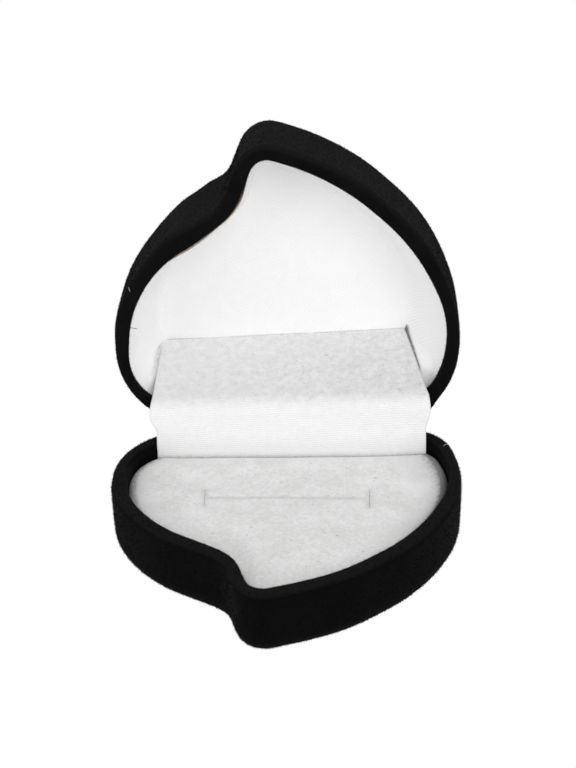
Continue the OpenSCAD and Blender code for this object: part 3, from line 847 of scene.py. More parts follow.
@dataclass
class FlockFuzz:
    """Single flock fibres that stand off a shell and blur its edge."""

    shell: FlockedShell
    seed: int
    finish: Finish
    per_area: float = 12.0 / MM**2
    fibre_l: tuple[float, float] = (0.12 * MM, 0.34 * MM)
    fibre_w: float = 0.07 * MM
    root_deep: float = 0.05 * MM
    lean: float = 0.8
    crown_share: float = 0.85
    rim_rows: int = 11
    corners: tuple[float, float, float] = (0.0, 2.094, 4.189)

    def build(self) -> Piece:
        """Scatter three-sided spikes over the outer wall and the rim.

        Cells of the shell are drawn by their area, and a fibre leans off the cell's
        normal by a share of its length.
        """
        rng = np.random.default_rng(self.seed)
        rows = self.shell.rows()
        section = self.shell.section()
        rim = int(np.argmax(section[:, 1] > self.shell.height - 1e-9))
        kept = np.arange(int(np.argmax(section[:, 2] >= self.crown_share)), rim + self.rim_rows)
        a, b, c = rows[kept], np.roll(rows, -1, axis=1)[kept], rows[kept + 1]
        normal = np.cross(b - a, c - a)
        area = np.linalg.norm(normal, axis=-1)
        wall = len(kept) // 2
        flip = 1.0 if float((normal[wall] * (a[wall] - a[wall].mean(0))).sum()) > 0.0 else -1.0
        count = int(area.sum() * self.per_area)
        cell = rng.choice(area.size, count, p=(area / area.sum()).ravel())
        a, b, c, up = (v.reshape(-1, 3)[cell] for v in (a, b, c, flip * normal))
        s, t = rng.uniform(size=(2, count, 1))
        place = a + s * (b - a) + t * (c - a)
        tilt = rng.normal(size=(count, 3))
        way = unit(unit(up) + self.lean * unit(tilt))
        tip = place + way * rng.uniform(*self.fibre_l, (count, 1))
        side = unit(np.cross(way, tilt)) * self.fibre_w / 2.0
        other = np.cross(way, side)
        root = place - way * self.root_deep
        feet = [root + side * math.cos(q) + other * math.sin(q) for q in self.corners]
        first = np.arange(count)[:, None] * 4
        faces = np.concatenate([first + np.array([[k, (k + 1) % 3, 3]]) for k in range(3)])
        name = f"{self.shell.name}_fibres"
        piece = make_piece(name, np.stack([*feet, tip], 1), [faces], self.finish, closed=False)
        return settle(piece, self.shell.body)


@dataclass
class RingPad:
    """The slit foam pad with its flocked cover, and the board under it."""

    outline: SwirlHeart
    edge_z: float = 9.7 * MM
    crown: float = 0.7 * MM
    edge_r: float = 1.5 * MM
    inset: float = 2.95 * MM
    cover_t: float = 0.6 * MM
    skirt: float = 4.0 * MM
    back_gap: float = 5.65 * MM
    foam_foot: float = 4.45 * MM
    back_edge: float = 0.3
    back_lift: float = 0.35 * MM
    back_lift_w: float = 9.0 * MM
    edge_row: int = 12
    slit_l: float = 29.0 * MM
    slit_w: float = 0.05 * MM
    slit_end_l: float = 5.0 * MM
    slit_back: float = 19.45 * MM
    slit_tilt: float = -0.25 * MM
    slit_deep: float = 4.2 * MM
    slit_dip: float = 0.1 * MM
    slit_dip_w: float = 0.6 * MM
    cross_share: float = 0.75

    def block(self, foot: float, inward: float, stations: int = 700) -> np.ndarray:
        """Stack the rings of the pad: straight side, rounded edge and a low crown.

        The back is cut off flat ahead of the flap, with the same rounded edge. The
        crown rises as one less the square of the share, and dips beside the slit.

        Args:
            foot: height of the lower edge.
            inward: distance moved in all round, and down from the face.
            stations: number of points in a ring.

        Returns:
            Points of shape (rings, stations, 3).
        """
        in_edge, up_edge = quarter(max(self.edge_r - inward, 0.3 * MM), 10)
        top = self.edge_z - inward
        side = np.linspace(foot, top - up_edge[-1], 5)[:-1]
        shares = np.linspace(1.0, 0.01, 60)[1:]
        more = np.concatenate([0 * side, in_edge[::-1], 0 * shares + in_edge[0]])
        high = np.concatenate([side, top - up_edge[::-1], 0 * shares + top])
        crest = np.concatenate([0 * side, smooth(1.0 - up_edge[::-1] / up_edge[-1]), 1.0 + 0 * shares])[:, None]
        share = np.concatenate([np.ones(len(side) + len(in_edge)), shares])
        points, _ = self.outline.curve(stations)
        inset = (self.inset + inward + more)[:, None] - spotted(points, BASE_TRIMS)
        rings = self.outline.ring(inset, high, np.ones_like(share), stations)
        limit = self.outline.back_y - self.back_gap - inward - self.back_edge * more
        rings[..., 1] = np.minimum(rings[..., 1], limit[:, None])
        centre = np.array([self.outline.middle[0], self.outline.back_y - self.outline.middle[1]])
        rings[..., :2] = centre + (rings[..., :2] - centre) * share[:, None, None]
        dip = self.slit_dip * np.exp(-((self.slit_distance(rings) / self.slit_dip_w) ** 2))
        ahead = limit[-1] - rings[..., 1]
        across = np.clip(np.abs(rings[..., 0]) / (0.42 * self.outline.width), 0.0, 1.0)
        rise = self.crown * (1.0 - share**2)[:, None]
        rise = rise + self.back_lift * smooth(1.0 - ahead / self.back_lift_w) * (1.0 - across**4)
        rings[..., 2] += (rise - dip + 0.05 * MM * waves(rings, 9.0 * MM, 11)) * crest
        lift = spotted(self.outline.from_back(rings), PAD_LIFTS)
        rings[..., 2] += lift * np.clip((high - foot) / (top - foot), 0.0, 1.0)[:, None]
        return rings

    def slit_distance(self, points: np.ndarray) -> np.ndarray:
        """Measure how far points lie from the long cut and the two cross cuts."""
        past = np.abs(points[..., 0]) - self.slit_l / 2.0
        y = points[..., 1] - self.slit_y(points[..., 0])
        cross_cut = np.hypot(past, np.maximum(np.abs(y) - self.slit_end_l / 2.0, 0.0)) * self.cross_share
        return np.minimum(np.hypot(np.maximum(past, 0.0), y), cross_cut)

    def flock(self) -> PadFlock:
        """Give the cover's finish, with its parting along this pad's slit."""
        return PadFlock(
            "white_pad_flock", self.slit_l / 2.0, self.slit_end_l / 2.0, float(self.slit_y(0.0)),
            self.slit_tilt / self.slit_l, self.cross_share,
        )

    def slit_y(self, x: np.ndarray) -> np.ndarray:
        """Place the long cut, which runs a touch askew, at each x."""
        return self.outline.back_y - self.slit_back + self.slit_tilt * x / self.slit_l

    def soil(self, rings: np.ndarray) -> np.ndarray:
        """Say how grey each point is painted, by a dusting and by painted shade: most along the rim, worst at the back
        corners.
        """
        points, _ = self.outline.curve(rings.shape[1])
        edge = rings[self.edge_row, :, :2]
        centre = rings[-1, :, :2].mean(0)
        reach = np.linalg.norm(edge - centre, axis=1)
        away = np.maximum(reach - np.linalg.norm(rings[..., :2] - centre, axis=-1), 0.0)
        # Painted shade and dusting: greyer close to the black rim, in a narrow band and a wide soft fall-off, more on
        # the right.
        near = 0.55 * np.exp(-away / (0.6 * MM)) + 0.3 * np.exp(-away / (4.5 * MM))
        side = np.clip((np.abs(points[:, 0]) / (0.5 * self.outline.width) - 0.45) / 0.5, 0.0, 1.0)
        near = near * (0.35 + side * np.where(points[:, 0] > 0.0, 0.85, 0.6))
        near += spotted(self.outline.from_back(rings), PAD_DUST_AND_SHADE) / MM
        # Painted shade: a dark line along the pad's back edge, where the flap's foot shades the seam.
        ahead = np.maximum(edge[:, 1].max() - rings[..., 1], 0.0)
        return np.maximum(near, 0.7 * np.exp(-ahead / (0.3 * MM)))

    def cut_slit(self, piece: Piece, finish: Finish) -> None:
        """Cut the long slit and its two cross cuts through the face with one cutter each."""
        half, end, w = self.slit_l / 2.0, self.slit_end_l / 2.0, self.slit_w / 2.0
        quads = np.array([[0, 1, 2, 3], [7, 6, 5, 4], [0, 4, 5, 1], [1, 5, 6, 2], [2, 6, 7, 3], [3, 7, 4, 0]])
        cuts = ((-half, half, -w, w), (-half - w, -half + w, -end, end), (half - w, half + w, -end, end))
        for x0, x1, y0, y1 in cuts:
            x = np.array([x0, x1, x1, x0])
            y = self.slit_y(x) + np.array([y0, y0, y1, y1])
            heights = (self.edge_z - self.slit_deep, self.edge_z + 3.0 * MM)
            ends = [np.stack([x, y, np.full(4, z)], -1) for z in heights]
            cutter = make_piece("cutter", np.concatenate(ends), [quads], finish)
            cut = piece.modifiers.new("slit", "BOOLEAN")
            cut.object, cut.operation, cut.solver = cutter, "DIFFERENCE", "MANIFOLD"
            bake_modifiers(piece)
            bpy.data.objects.remove(cutter)

    def build(self) -> list[Piece]:
        """Make the flocked cover and the foam block, and dress the board."""
        dress("pad_board", BACKING)
        face = self.block(self.edge_z - self.skirt, 0.0)
        under = self.block(self.edge_z - self.skirt, self.cover_t)
        rows = np.concatenate([face[::-1], under])
        soil = np.concatenate([self.soil(face)[::-1].ravel(), np.zeros(under[..., 0].size + 2)])
        points, faces = loft_solid(rows)
        cover = make_piece("pad_flocked_cover", points, faces, self.flock(), attributes={SHADE_AND_DUST: soil})
        self.cut_slit(cover, self.flock())
        cover.data.set_sharp_from_angle(angle=math.radians(40.0))
        points, faces = loft_solid(self.block(self.foam_foot, self.cover_t + 0.05 * MM, 400))
        foam = make_piece("pad_foam_block", points, faces, FOAM)
        self.cut_slit(foam, FOAM)
        return [settle(cover, Body.BASE, "pad_cover"), settle(foam, Body.BASE, "pad_foam")]


@dataclass
class LidLining:
    """Satin over card in the lid: a flat floor, and a sloping band round it."""

    outline: SwirlHeart
    pin: Pin
    flap: "HingeFlap"
    floor_high: float = 14.55 * MM
    floor_share: float = 0.82
    floor_puff: float = 0.25 * MM
    rim_inset: float = 2.8 * MM
    band_inset: float = 2.78 * MM
    band_low: float = 1.85 * MM
    band_bow: float = 1.3
    band_end: float = 1.3
    band_fillet: float = 2.2 * MM
    band_ends: float = 19.2 * MM
    flap_drops: tuple[float, float] = (0.3 * MM, 0.45 * MM)
    flap_bend: float = 1.6 * MM
    groove_at: tuple[float, float] = (0.35 * MM, 0.4 * MM)
    groove_w: tuple[float, float] = (0.5 * MM, 0.28 * MM)
    groove_soil: tuple[float, float] = (1.7, 5.0)
    lint: float = 0.03
    lint_middle: float = 0.2
    card_t: float = 0.3 * MM
    card_behind: float = 0.28 * MM
    card_recess: float = 1.0 * MM
    card_ends_back: float = 7.0 * MM
    card_shown: Spots = ((-16.3, 36.8, 6.8, 1.0), (-26.5, 10.5, 2.2, 0.6), (-1.2, 49.6, 1.6, 0.8))
    satin_t: float = 0.25 * MM
    stand_off: float = 0.78 * MM
    wadding_t: float = 1.3 * MM
    wadding_gap: float = 1.32 * MM
    stations: int = 900

    def shut(self, rings: np.ndarray) -> np.ndarray:
        """Lift points whose height is over the pin, and turn them to the open lid."""
        return self.pin.opened(rings + (0.0, 0.0, self.pin.z))

    def floor_at(self, rings: np.ndarray, share: np.ndarray) -> np.ndarray:
        """Give the height of the floor's satin: puffed over the wadding, and a little wavy."""
        puff = self.floor_puff * (1.0 - (share / self.floor_share) ** 4)
        flat = rings[..., :2]
        soft = 0.07 * MM * waves(flat, 11.0 * MM, 21) + 0.04 * MM * waves(flat, 4.0 * MM, 22)
        return self.floor_high - 0.1 * MM - puff[:, None] + soft

    def floor_piece(self) -> Piece:
        """Make the satin floor, flat over wadding, its edge hidden under the band.
        """
        share = np.linspace(1.0, 0.01, 52) * self.floor_share
        rings = self.outline.ring(np.full(len(share), self.rim_inset), np.zeros(len(share)), share, 640)
        rings[..., 2] = self.floor_at(rings, share)
        points = self.shut(rings)
        count, columns = rings.shape[:2]
        flat, weave = (np.concatenate([v.reshape(-1, v.shape[-1]), [v[-1].mean(0)]]) for v in (points, rings[..., :2]))
        faces = [grid_quads(count, columns, True), fan(count * columns, (count - 1) * columns, columns)[:, ::-1]]
        # The floor is greyed more towards its middle than at its edge.
        lint = self.lint + (self.lint_middle - self.lint) * smooth(1.3 - 1.3 * share / self.floor_share)
        soil = np.append(np.repeat(lint, columns), self.lint_middle)
        piece = make_piece(
            "satin_floor", flat, faces, LINING_SATIN, closed=False, weave=weave,
            attributes={RIBS_AND_LIGHT: np.ones(len(flat)), SHADE_AND_DUST: soil},
        )
        thicken(piece, self.satin_t)
        return settle(piece, Body.LID, "lid_lining_floor")

    def band_columns(self) -> np.ndarray:
        """Pick the stations that the band covers, in order from one end to the other."""
        points, _ = self.outline.curve(self.stations)
        inside = (points[:, 1] > 1.0 * MM) | (np.abs(points[:, 0]) > self.band_ends)
        start = int(np.argmax(inside & ~np.roll(inside, 1)))
        order = (start + np.arange(self.stations)) % self.stations
        return order[inside[order]]

    def stand(self, points: np.ndarray) -> np.ndarray:
        """Say how far the band stands off the wall, and so shows its card's raw edge."""
        return np.max([spotted(points, (spot,)) for spot in self.card_shown], axis=0) / MM

    def shelved(self, rings: np.ndarray, way: np.ndarray) -> tuple[np.ndarray, np.ndarray]:
        """Raise the band's two ends to just under the flap's upper panel.

        The distance from the back becomes the soft maximum of its own and of the
        panel's plane, r being the bend: half of a + b + the root of (a - b) squared
        plus r squared. It stays down where the panel covers it, and the shaded gap
        along each of the panel's sides is greyed.

        Args:
            rings: points of the shut band, one row for each way down.
            way: each row's share of the way down to the floor.

        Returns:
            The raised points, and how much the gap's shade greys each.
        """
        raised = rings.copy()
        groove = np.zeros(rings.shape[:2])
        rooted = smooth(way / 0.25)[:, None]
        back = self.outline.back_y - rings[..., 1]
        for side, sign in enumerate((-1.0, 1.0)):
            edge_x, edge_back = self.flap.side_in_lid(rings[..., 2], side)
            past = (rings[..., 0] - edge_x) * sign
            plane = edge_back - self.flap_drops[side]
            soft = (back + plane + np.hypot(back - plane, self.flap_bend)) / 2.0
            raised[..., 1] -= (soft - back) * rooted * smooth((past + 0.5 * MM) / (0.6 * MM))
            # Painted shade: a grey line is laid along the gap beside each side of the panel.
            line = np.exp(-(((past - self.groove_at[side]) / self.groove_w[side]) ** 2))
            groove += self.groove_soil[side] * line * rooted * (back < edge_back + 0.3 * MM)
        return raised, groove

    def sloped(self, way: np.ndarray, high: np.ndarray, columns: np.ndarray, off: np.ndarray) -> np.ndarray:
        """Lay rows of the band's slope, whose share falls as a power of the way down.

        Args:
            way: each row's share of the way down to the floor.
            high: each row's height.
            columns: stations of the outline to keep.
            off: distance that each kept point is moved in, past the band's own.

        Returns:
            Points of shape (rows, columns, 3), with the lid shut.
        """
        inset = np.full((len(way), self.stations), self.band_inset)
        inset[:, columns] += off
        share = 1.0 - (1.0 - self.floor_share) * way**self.band_bow
        return self.outline.ring(inset, high, share, self.stations)[:, columns]

    def band_piece(self, rows: int = 34) -> list[Piece]:
        """Make the satin band and the raw card edge that shows behind it.

        The height is the soft minimum of the straight slope and the floor, and
        shallow folds run across it where the outline turns.
        """
        columns = self.band_columns()
        points, normals = (v[columns] for v in self.outline.curve(self.stations))
        way = np.linspace(0.0, self.band_end, rows)
        stand = self.stand(points)
        steep = (1.0 - np.minimum(way, 1.0)[:, None]) ** 1.5
        off = (self.stand_off * stand - spotted(points, LID_TRIMS)) * steep
        rings = self.sloped(way, np.zeros(rows), columns, off)
        slope = self.band_low + (self.floor_high - self.band_low) * way[:, None]
        floor = self.floor_at(rings, 1.0 - (1.0 - self.floor_share) * way**self.band_bow) - 0.05 * MM
        back = self.outline.back_y - rings[..., 1]
        fillet = 0.5 * MM + self.band_fillet * smooth((back - 13.0 * MM) / (10.0 * MM))
        near = np.maximum(1.0 - np.abs(slope - floor) / fillet, 0.0)
        tuck = 0.1 * MM * smooth((way - self.band_end + 0.5) / 0.5)[:, None]
        rings[..., 2] = np.minimum(slope, floor) - near**2 * fillet / 4.0 + tuck
        rings, groove = self.shelved(rings, way)
        along = np.cumsum(np.linalg.norm(np.diff(points, axis=0, prepend=points[:1]), axis=1))
        turn = np.linalg.norm(np.roll(normals, -4, 0) - np.roll(normals, 4, 0), axis=1)
        pinch = 0.1 + 0.9 * np.clip(turn / turn.max(), 0.0, 1.0) * smooth((points[:, 1] - 8.0 * MM) / (8.0 * MM))
        folds = np.sin(2.0 * np.pi * along / (3.1 * MM) + 1.7 * np.sin(along / (6.0 * MM)))
        middle = np.sin(np.pi * np.minimum(way, 1.0))[:, None]
        ripple = 0.09 * MM * folds * pinch * middle**0.8 + 0.1 * MM * waves(rings, 7.0 * MM, 31) * middle
        rings[..., :2] += normals * (-1.0, 1.0) * ripple[..., None]
        rings[0, :, 2] += 0.05 * MM * waves(np.stack([along, along * 0.0], -1), 0.9 * MM, 33)
        # Painted light: the band shows fewer ribs towards the rim, which paints it paler where the rim shades it, save
        # near the tip.
        tip = smooth((back - 30.0 * MM) / (12.0 * MM))
        ribs_and_light = 0.4 + 0.6 * np.maximum(tip, smooth((way[:, None] - 0.35) / 0.6))
        piece = make_piece(
            "satin_band", self.shut(rings), [grid_quads(rows, len(columns), False)], LINING_SATIN,
            closed=False, weave=rings[..., :2], attributes={RIBS_AND_LIGHT: ribs_and_light, SHADE_AND_DUST: self.lint + groove},
        )
        thicken(piece, self.satin_t)
        settle(piece, Body.LID, "lid_lining_band")
        return [piece, self.card_edge(columns[points[:, 1] > self.card_ends_back])]

    def card_edge(self, columns: np.ndarray) -> Piece:
        """Make the band's card: a strip behind the satin, its raw edge at the rim in places."""
        points = self.outline.curve(self.stations)[0][columns]
        stand = self.stand(points)
        way = np.linspace(0.0, 0.6, 10)
        high = self.band_low - 0.12 * MM + (self.floor_high - self.band_low) * way * 0.96
        left = 1.0 - way[:, None]
        off = (self.stand_off * stand - spotted(points, LID_TRIMS)) * left**1.5
        faces = []
        for behind in (self.card_behind, self.card_behind + self.card_t):
            face = self.sloped(way, high, columns, off - behind)
            face[..., 2] += self.card_recess * (1.0 - smooth(stand / 0.35)) * left
            faces.append(self.shelved(face, way)[0])
        rim = np.concatenate([faces[0][::-1], faces[1]])
        edge = slice(len(way) - 1, len(way) + 1)
        rim[edge, :, 2] += 0.06 * MM * waves(rim[len(way) - 1], 0.8 * MM, 41)
        rows, count = rim.shape[:2]
        first = np.arange(count - 1)
        last = (rows - 1) * count + first
        back = np.stack([last, last + 1, first + 1, first], -1)
        quads = np.concatenate([grid_quads(rows, count, False), back])
        piece = make_piece("band_card", self.shut(rim), [quads], CARD, closed=False)
        return settle(piece, Body.LID)

    def wadding_piece(self) -> Piece:
        """Make the thin wadding between the floor's card and the crown, soft at its edge."""
        low = self.floor_high + self.wadding_gap
        top = low + self.wadding_t
        bulge = np.sin(np.linspace(0.0, np.pi, 9))
        high = np.concatenate([[low] * 3, np.linspace(low, top, 9), [top] * 3])
        core = self.floor_share + 0.005
        share = np.concatenate([[0.1, 0.6, core - 0.03], core - 0.02 + 0.02 * bulge, [core - 0.03, 0.6, 0.1]])
        rings = self.outline.ring(np.full(len(share), self.rim_inset), high, share, 300)
        piece = make_piece("lid_wadding_sheet", *loft_solid(self.shut(rings)), WADDING)
        return settle(piece, Body.LID, "lid_lining_wadding")

    def build(self) -> list[Piece]:
        """Make the whole lining, and dress its card."""
        dress("lid_lining_card", CARD)
        return [self.floor_piece(), *self.band_piece(), self.wadding_piece()]


@dataclass
class HingeFlap:
    """The satin flap that hides the hinge, folded over two strips of card.

    Seen from the side it stands upright at the pad's back edge, leans back above
    the rim, folds, and runs back to the lining floor. Its right side sits higher.
    """

    pin: Pin
    satin_t: float = 0.3 * MM
    foot_back: float = 5.35 * MM
    foot_high: float = -6.6 * MM
    rim_high: float = 0.3 * MM
    rim_soft: float = 1.0 * MM
    fold_back: float = 3.0 * MM
    fold_high: float = 7.05 * MM
    fold_rise: float = 0.0215
    fold_r: float = 2.3 * MM
    top_back: float = 12.4 * MM
    top_run: float = 0.045
    top_high: float = 14.3 * MM
    foot_x: tuple[float, float] = (-23.6 * MM, 24.6 * MM)
    wide_x: tuple[float, float] = (-24.85 * MM, 25.45 * MM)
    fold_x: tuple[float, float] = (-24.5 * MM, 25.1 * MM)
    top_x: tuple[float, float] = (-23.4 * MM, 20.9 * MM)
    card_t: float = 0.3 * MM
    card_behind: float = 0.35 * MM
    seam_high: float = -3.0 * MM
    card_stages: tuple[tuple[float, float], ...] = ((1.2, 1.75), (2.3, 2.93))
    bend_lean: float = 60.0
    bend_reach: float = 18.2 * MM

    def corners(self, x: np.ndarray) -> list[np.ndarray]:
        """Give the four corners of the flap's path at each x, as back and high."""
        top = self.pin.turned(self.top_back + self.top_run * x, np.full_like(x, self.top_high))
        corners = (
            (self.foot_back, self.foot_high),
            (self.foot_back, self.rim_high),
            (self.fold_back, self.fold_high + self.fold_rise * x),
            top,
        )
        return [np.stack([back + 0.0 * x, high + 0.0 * x], -1) for back, high in corners]

    def path(self, x: np.ndarray) -> tuple[np.ndarray, np.ndarray]:
        """Round the path's two corners with parabolas that touch both sides.

        Args:
            x: where across the flap, one for each column.

        Returns:
            Points of shape (rows, columns, 2) as back and high, and each row's
            stage: 0 at the foot, 1 at the rim, 2 at the fold and 3 at the top.
        """
        foot, rim, fold, top = self.corners(x)

        def toward(a: np.ndarray, b: np.ndarray, far: float) -> np.ndarray:
            """Step from a towards b by a distance."""
            return a + unit(b - a) * far

        def run(a: np.ndarray, b: np.ndarray, rows: int, corner: np.ndarray | None = None) -> np.ndarray:
            """Run from a up to just before b, straight or bent round a corner."""
            t = np.linspace(0.0, 1.0, rows, endpoint=False)[:, None, None]
            return a + (b - a) * t if corner is None else a * (1 - t) ** 2 + corner * 2 * t * (1 - t) + b * t**2

        below, beyond = toward(rim, foot, self.rim_soft), toward(rim, fold, self.rim_soft)
        before, after = toward(fold, rim, self.fold_r), toward(fold, top, self.fold_r)
        runs = [
            (run(foot, below, 14), 0.0, 0.95),
            (run(below, beyond, 6, rim), 0.95, 1.1),
            (run(beyond, before, 30), 1.1, 1.85),
            (run(before, after, 14, fold), 1.85, 2.12),
            (run(after, top, 50), 2.12, 3.0),
            (top[None], 3.0, 3.0),
        ]
        stages = np.concatenate([np.linspace(a, b, len(rows), endpoint=False) for rows, a, b in runs])
        return np.concatenate([rows for rows, _, _ in runs]), stages

    def sides(self, stage: np.ndarray) -> tuple[np.ndarray, np.ndarray]:
        """Give the left and right ends of each row, widest just below the fold."""
        flare = smooth((stage - 1.24) / 0.63)
        past = smooth((stage - 1.88) / 0.24)
        narrow = np.clip((stage - 2.05) / 0.95, 0.0, 1.0)
        left, right = (
            foot + (wide - foot) * flare + (fold - wide) * past + (top - fold) * narrow
            for foot, wide, fold, top in zip(self.foot_x, self.wide_x, self.fold_x, self.top_x)
        )
        return left, right

    def side_in_lid(self, high: np.ndarray, side: int) -> tuple[np.ndarray, np.ndarray]:
        """Find one side of the upper panel in the shut lid, by height over the pin.

        Args:
            high: heights to find it at.
            side: 0 for the left side and 1 for the right.

        Returns:
            The side's x, and its distance from the back face.
        """
        fold_x, top_x = self.fold_x[side], self.top_x[side]
        back, low = self.pin.turned(self.fold_back, self.fold_high + self.fold_rise * fold_x, -1.0)
        share = np.clip((high - low) / (self.top_high - low), 0.0, 1.0)
        top_back = self.top_back + self.top_run * top_x
        return fold_x + (top_x - fold_x) * share, back + (top_back - back) * share

    def surface(self, columns: int = 160, behind: float = 0.0) -> tuple[np.ndarray, np.ndarray, np.ndarray]:
        """Work out the flap as a grid of rows up its path and columns across it.

        Args:
            columns: number of points across.
            behind: distance moved to the hidden side.

        Returns:
            The points, the cloth's own coordinates and each row's stage.
        """
        coarse = np.linspace(*self.wide_x, columns)
        path, stage = self.path(coarse)
        left, right = self.sides(stage)
        x = left[:, None] + (right - left)[:, None] * np.linspace(0.0, 1.0, columns)
        rows = np.arange(len(stage))[:, None]
        place = (x - coarse[0]) / (coarse[-1] - coarse[0]) * (columns - 1)
        low = np.clip(np.floor(place).astype(int), 0, columns - 2)
        part = (place - low)[..., None]
        bent = path[rows, low] * (1 - part) + path[rows, low + 1] * part
        along = unit(np.gradient(bent, axis=0))
        normal = np.stack([along[..., 1], -along[..., 0]], -1)
        free = window(stage, 1.1, 2.9, 0.3)[:, None]
        sag = 0.1 * MM * waves(np.stack([x, rows * 0.2 * MM + 0 * x], -1), 13.0 * MM, 51) * free
        bent = bent + normal * (sag - behind)[..., None]
        run = np.cumsum(np.linalg.norm(np.diff(bent[:, columns // 2], axis=0), axis=1))
        run = np.concatenate([[0.0], run])[:, None]
        return self.pin.at(x, bent[..., 0], bent[..., 1]), np.stack(np.broadcast_arrays(x, run), -1), stage

    def blended(self, piece: Piece, node: str) -> Piece:
        """Hide the CAD node the piece stands for, and bake the piece's place into its mesh."""
        foot = self.pin.at(0.0, self.foot_back, self.rim_high)
        settle(piece, None, node)
        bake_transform(piece)
        return piece

    def build(self) -> list[Piece]:
        """Make the satin flap and the two card strips behind it."""
        points, weave, stage = self.surface()
        rows, columns = points.shape[:2]
        upper = smooth((stage - 1.85) / 0.3)[:, None]
        across = np.linspace(0.0, 1.0, columns)[None]
        # Painted shade: a dark line at the seam with the pad and a grey patch at the right foot; the upper panel, which
        # faces up away from the front light, is greyed as painted shade and dusting, more to the right; the whole flap
        # is greyed a little.
        above = np.maximum(points[..., 2] - self.pin.z - self.seam_high, 0.0)
        seam_shade = 1.3 * np.exp(-above / (0.3 * MM)) + 0.6 * smooth((across - 0.8) / 0.2) * np.exp(-above / (0.9 * MM))
        soil = 0.3 + upper * (0.5 + 0.5 * across) + seam_shade
        flap = make_piece(
            "satin_flap", points, [grid_quads(rows, columns, False)], FLAP_SATIN, closed=False,
            weave=weave, attributes={RIBS_AND_LIGHT: 0.8 - 0.5 * upper + 0.0 * across, SHADE_AND_DUST: soil},
        )
        thicken(flap, self.satin_t, offset=0.0)
        bake_modifiers(flap)
        return [self.blended(flap, "hinge_flap"), self.cards()]

    def cards(self) -> Piece:
        """Make the two card strips, each a thin slab just behind its panel."""
        near, _, stage = self.surface(40, self.card_behind)
        far, _, _ = self.surface(40, self.card_behind + self.card_t)
        trim = slice(3, -3)
        slabs, quads, start = [], [], 0
        for low, high in self.card_stages:
            rows = (stage >= low) & (stage <= high)
            loop = np.concatenate([near[rows][:, trim], far[rows][:, trim][::-1]])
            count, columns = loop.shape[:2]
            wrap = np.arange(columns - 1)
            last = (count - 1) * columns + wrap
            faces = [grid_quads(count, columns, False), np.stack([last, last + 1, wrap + 1, wrap], -1)]
            side = np.arange(count // 2 - 1)
            for edge, flip in ((0, 1), (columns - 1, -1)):
                a, b = side * columns + edge, (count - 1 - side) * columns + edge
                faces.append(np.stack([a, b, b - columns, a + columns], -1)[:, ::flip])
            quads.append(np.concatenate(faces) + start)
            slabs.append(loop.reshape(-1, 3))
            start += count * columns
        piece = make_piece("flap_cards", np.concatenate(slabs), [np.concatenate(quads)], CARD)
        return self.blended(piece, "hinge_flap_cards")


@dataclass
class SnapHinge:
    """The metal of the hinge: the bowed snap strip, and the finish of leaves and pin."""

    pin: Pin
    strip_w: float = 10.0 * MM
    strip_t: float = 0.25 * MM
    hook_drop: float = 5.5 * MM
    hook_off: float = 0.05 * MM
    base_seat: float = 2.4 * MM
    lid_seat: float = 1.8 * MM
    hook_in: float = 1.05 * MM
    bow: float = 4.1 * MM

    def path(self) -> np.ndarray:
        """Give the strip's line as back and high: hook, circular bow and hook.

        The bow is the arc through both knees whose height over their chord is the
        bow: its radius is the chord squared over eight bows, plus half the bow.
        """
        foot, knee = (np.array([self.base_seat + off, -self.hook_drop]) for off in (self.hook_off, self.hook_in))
        far_foot, far_knee = (
            np.array(self.pin.turned(self.lid_seat + off, self.hook_drop)) for off in (self.hook_off, self.hook_in)
        )
        chord = float(np.linalg.norm(far_knee - knee))
        along = (far_knee - knee) / chord
        out = np.array([along[1], -along[0]])
        radius = chord**2 / (8.0 * self.bow) + self.bow / 2.0
        centre = (knee + far_knee) / 2.0 - out * (radius - self.bow)
        turn = math.acos((radius - self.bow) / radius) * np.linspace(-1.0, 1.0, 60)[:, None]
        arc = centre + radius * (out * np.cos(turn) + along * np.sin(turn))
        hook = foot + (knee - foot) * np.linspace(0.0, 0.8, 4)[:, None]
        far_hook = far_knee + (far_foot - far_knee) * np.linspace(0.2, 1.0, 4)[:, None]
        return np.concatenate([hook, arc, far_hook])

    def build(self) -> list[Piece]:
        """Finish the leaves and the pin, and make the strip, which stands for its CAD node and rides on neither body.
        """
        for node, finish in (("base_hinge_leaf", LEAF_STEEL), ("lid_hinge_leaf", LEAF_STEEL), ("hinge_pin", PIN_STEEL)):
            dress(node, finish)
        path = self.path()
        x = np.linspace(-0.5, 0.5, 12) * self.strip_w
        points = self.pin.at(self.pin.x + x[None], path[:, :1], path[:, 1:])
        piece = make_piece("snap_strip", points, [grid_quads(len(path), len(x), False)], SPRING_STEEL, closed=False)
        thicken(piece, self.strip_t, offset=0.0)
        bake_modifiers(piece)
        settle(piece, None, "snap_spring")
        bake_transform(piece)
        return [piece]


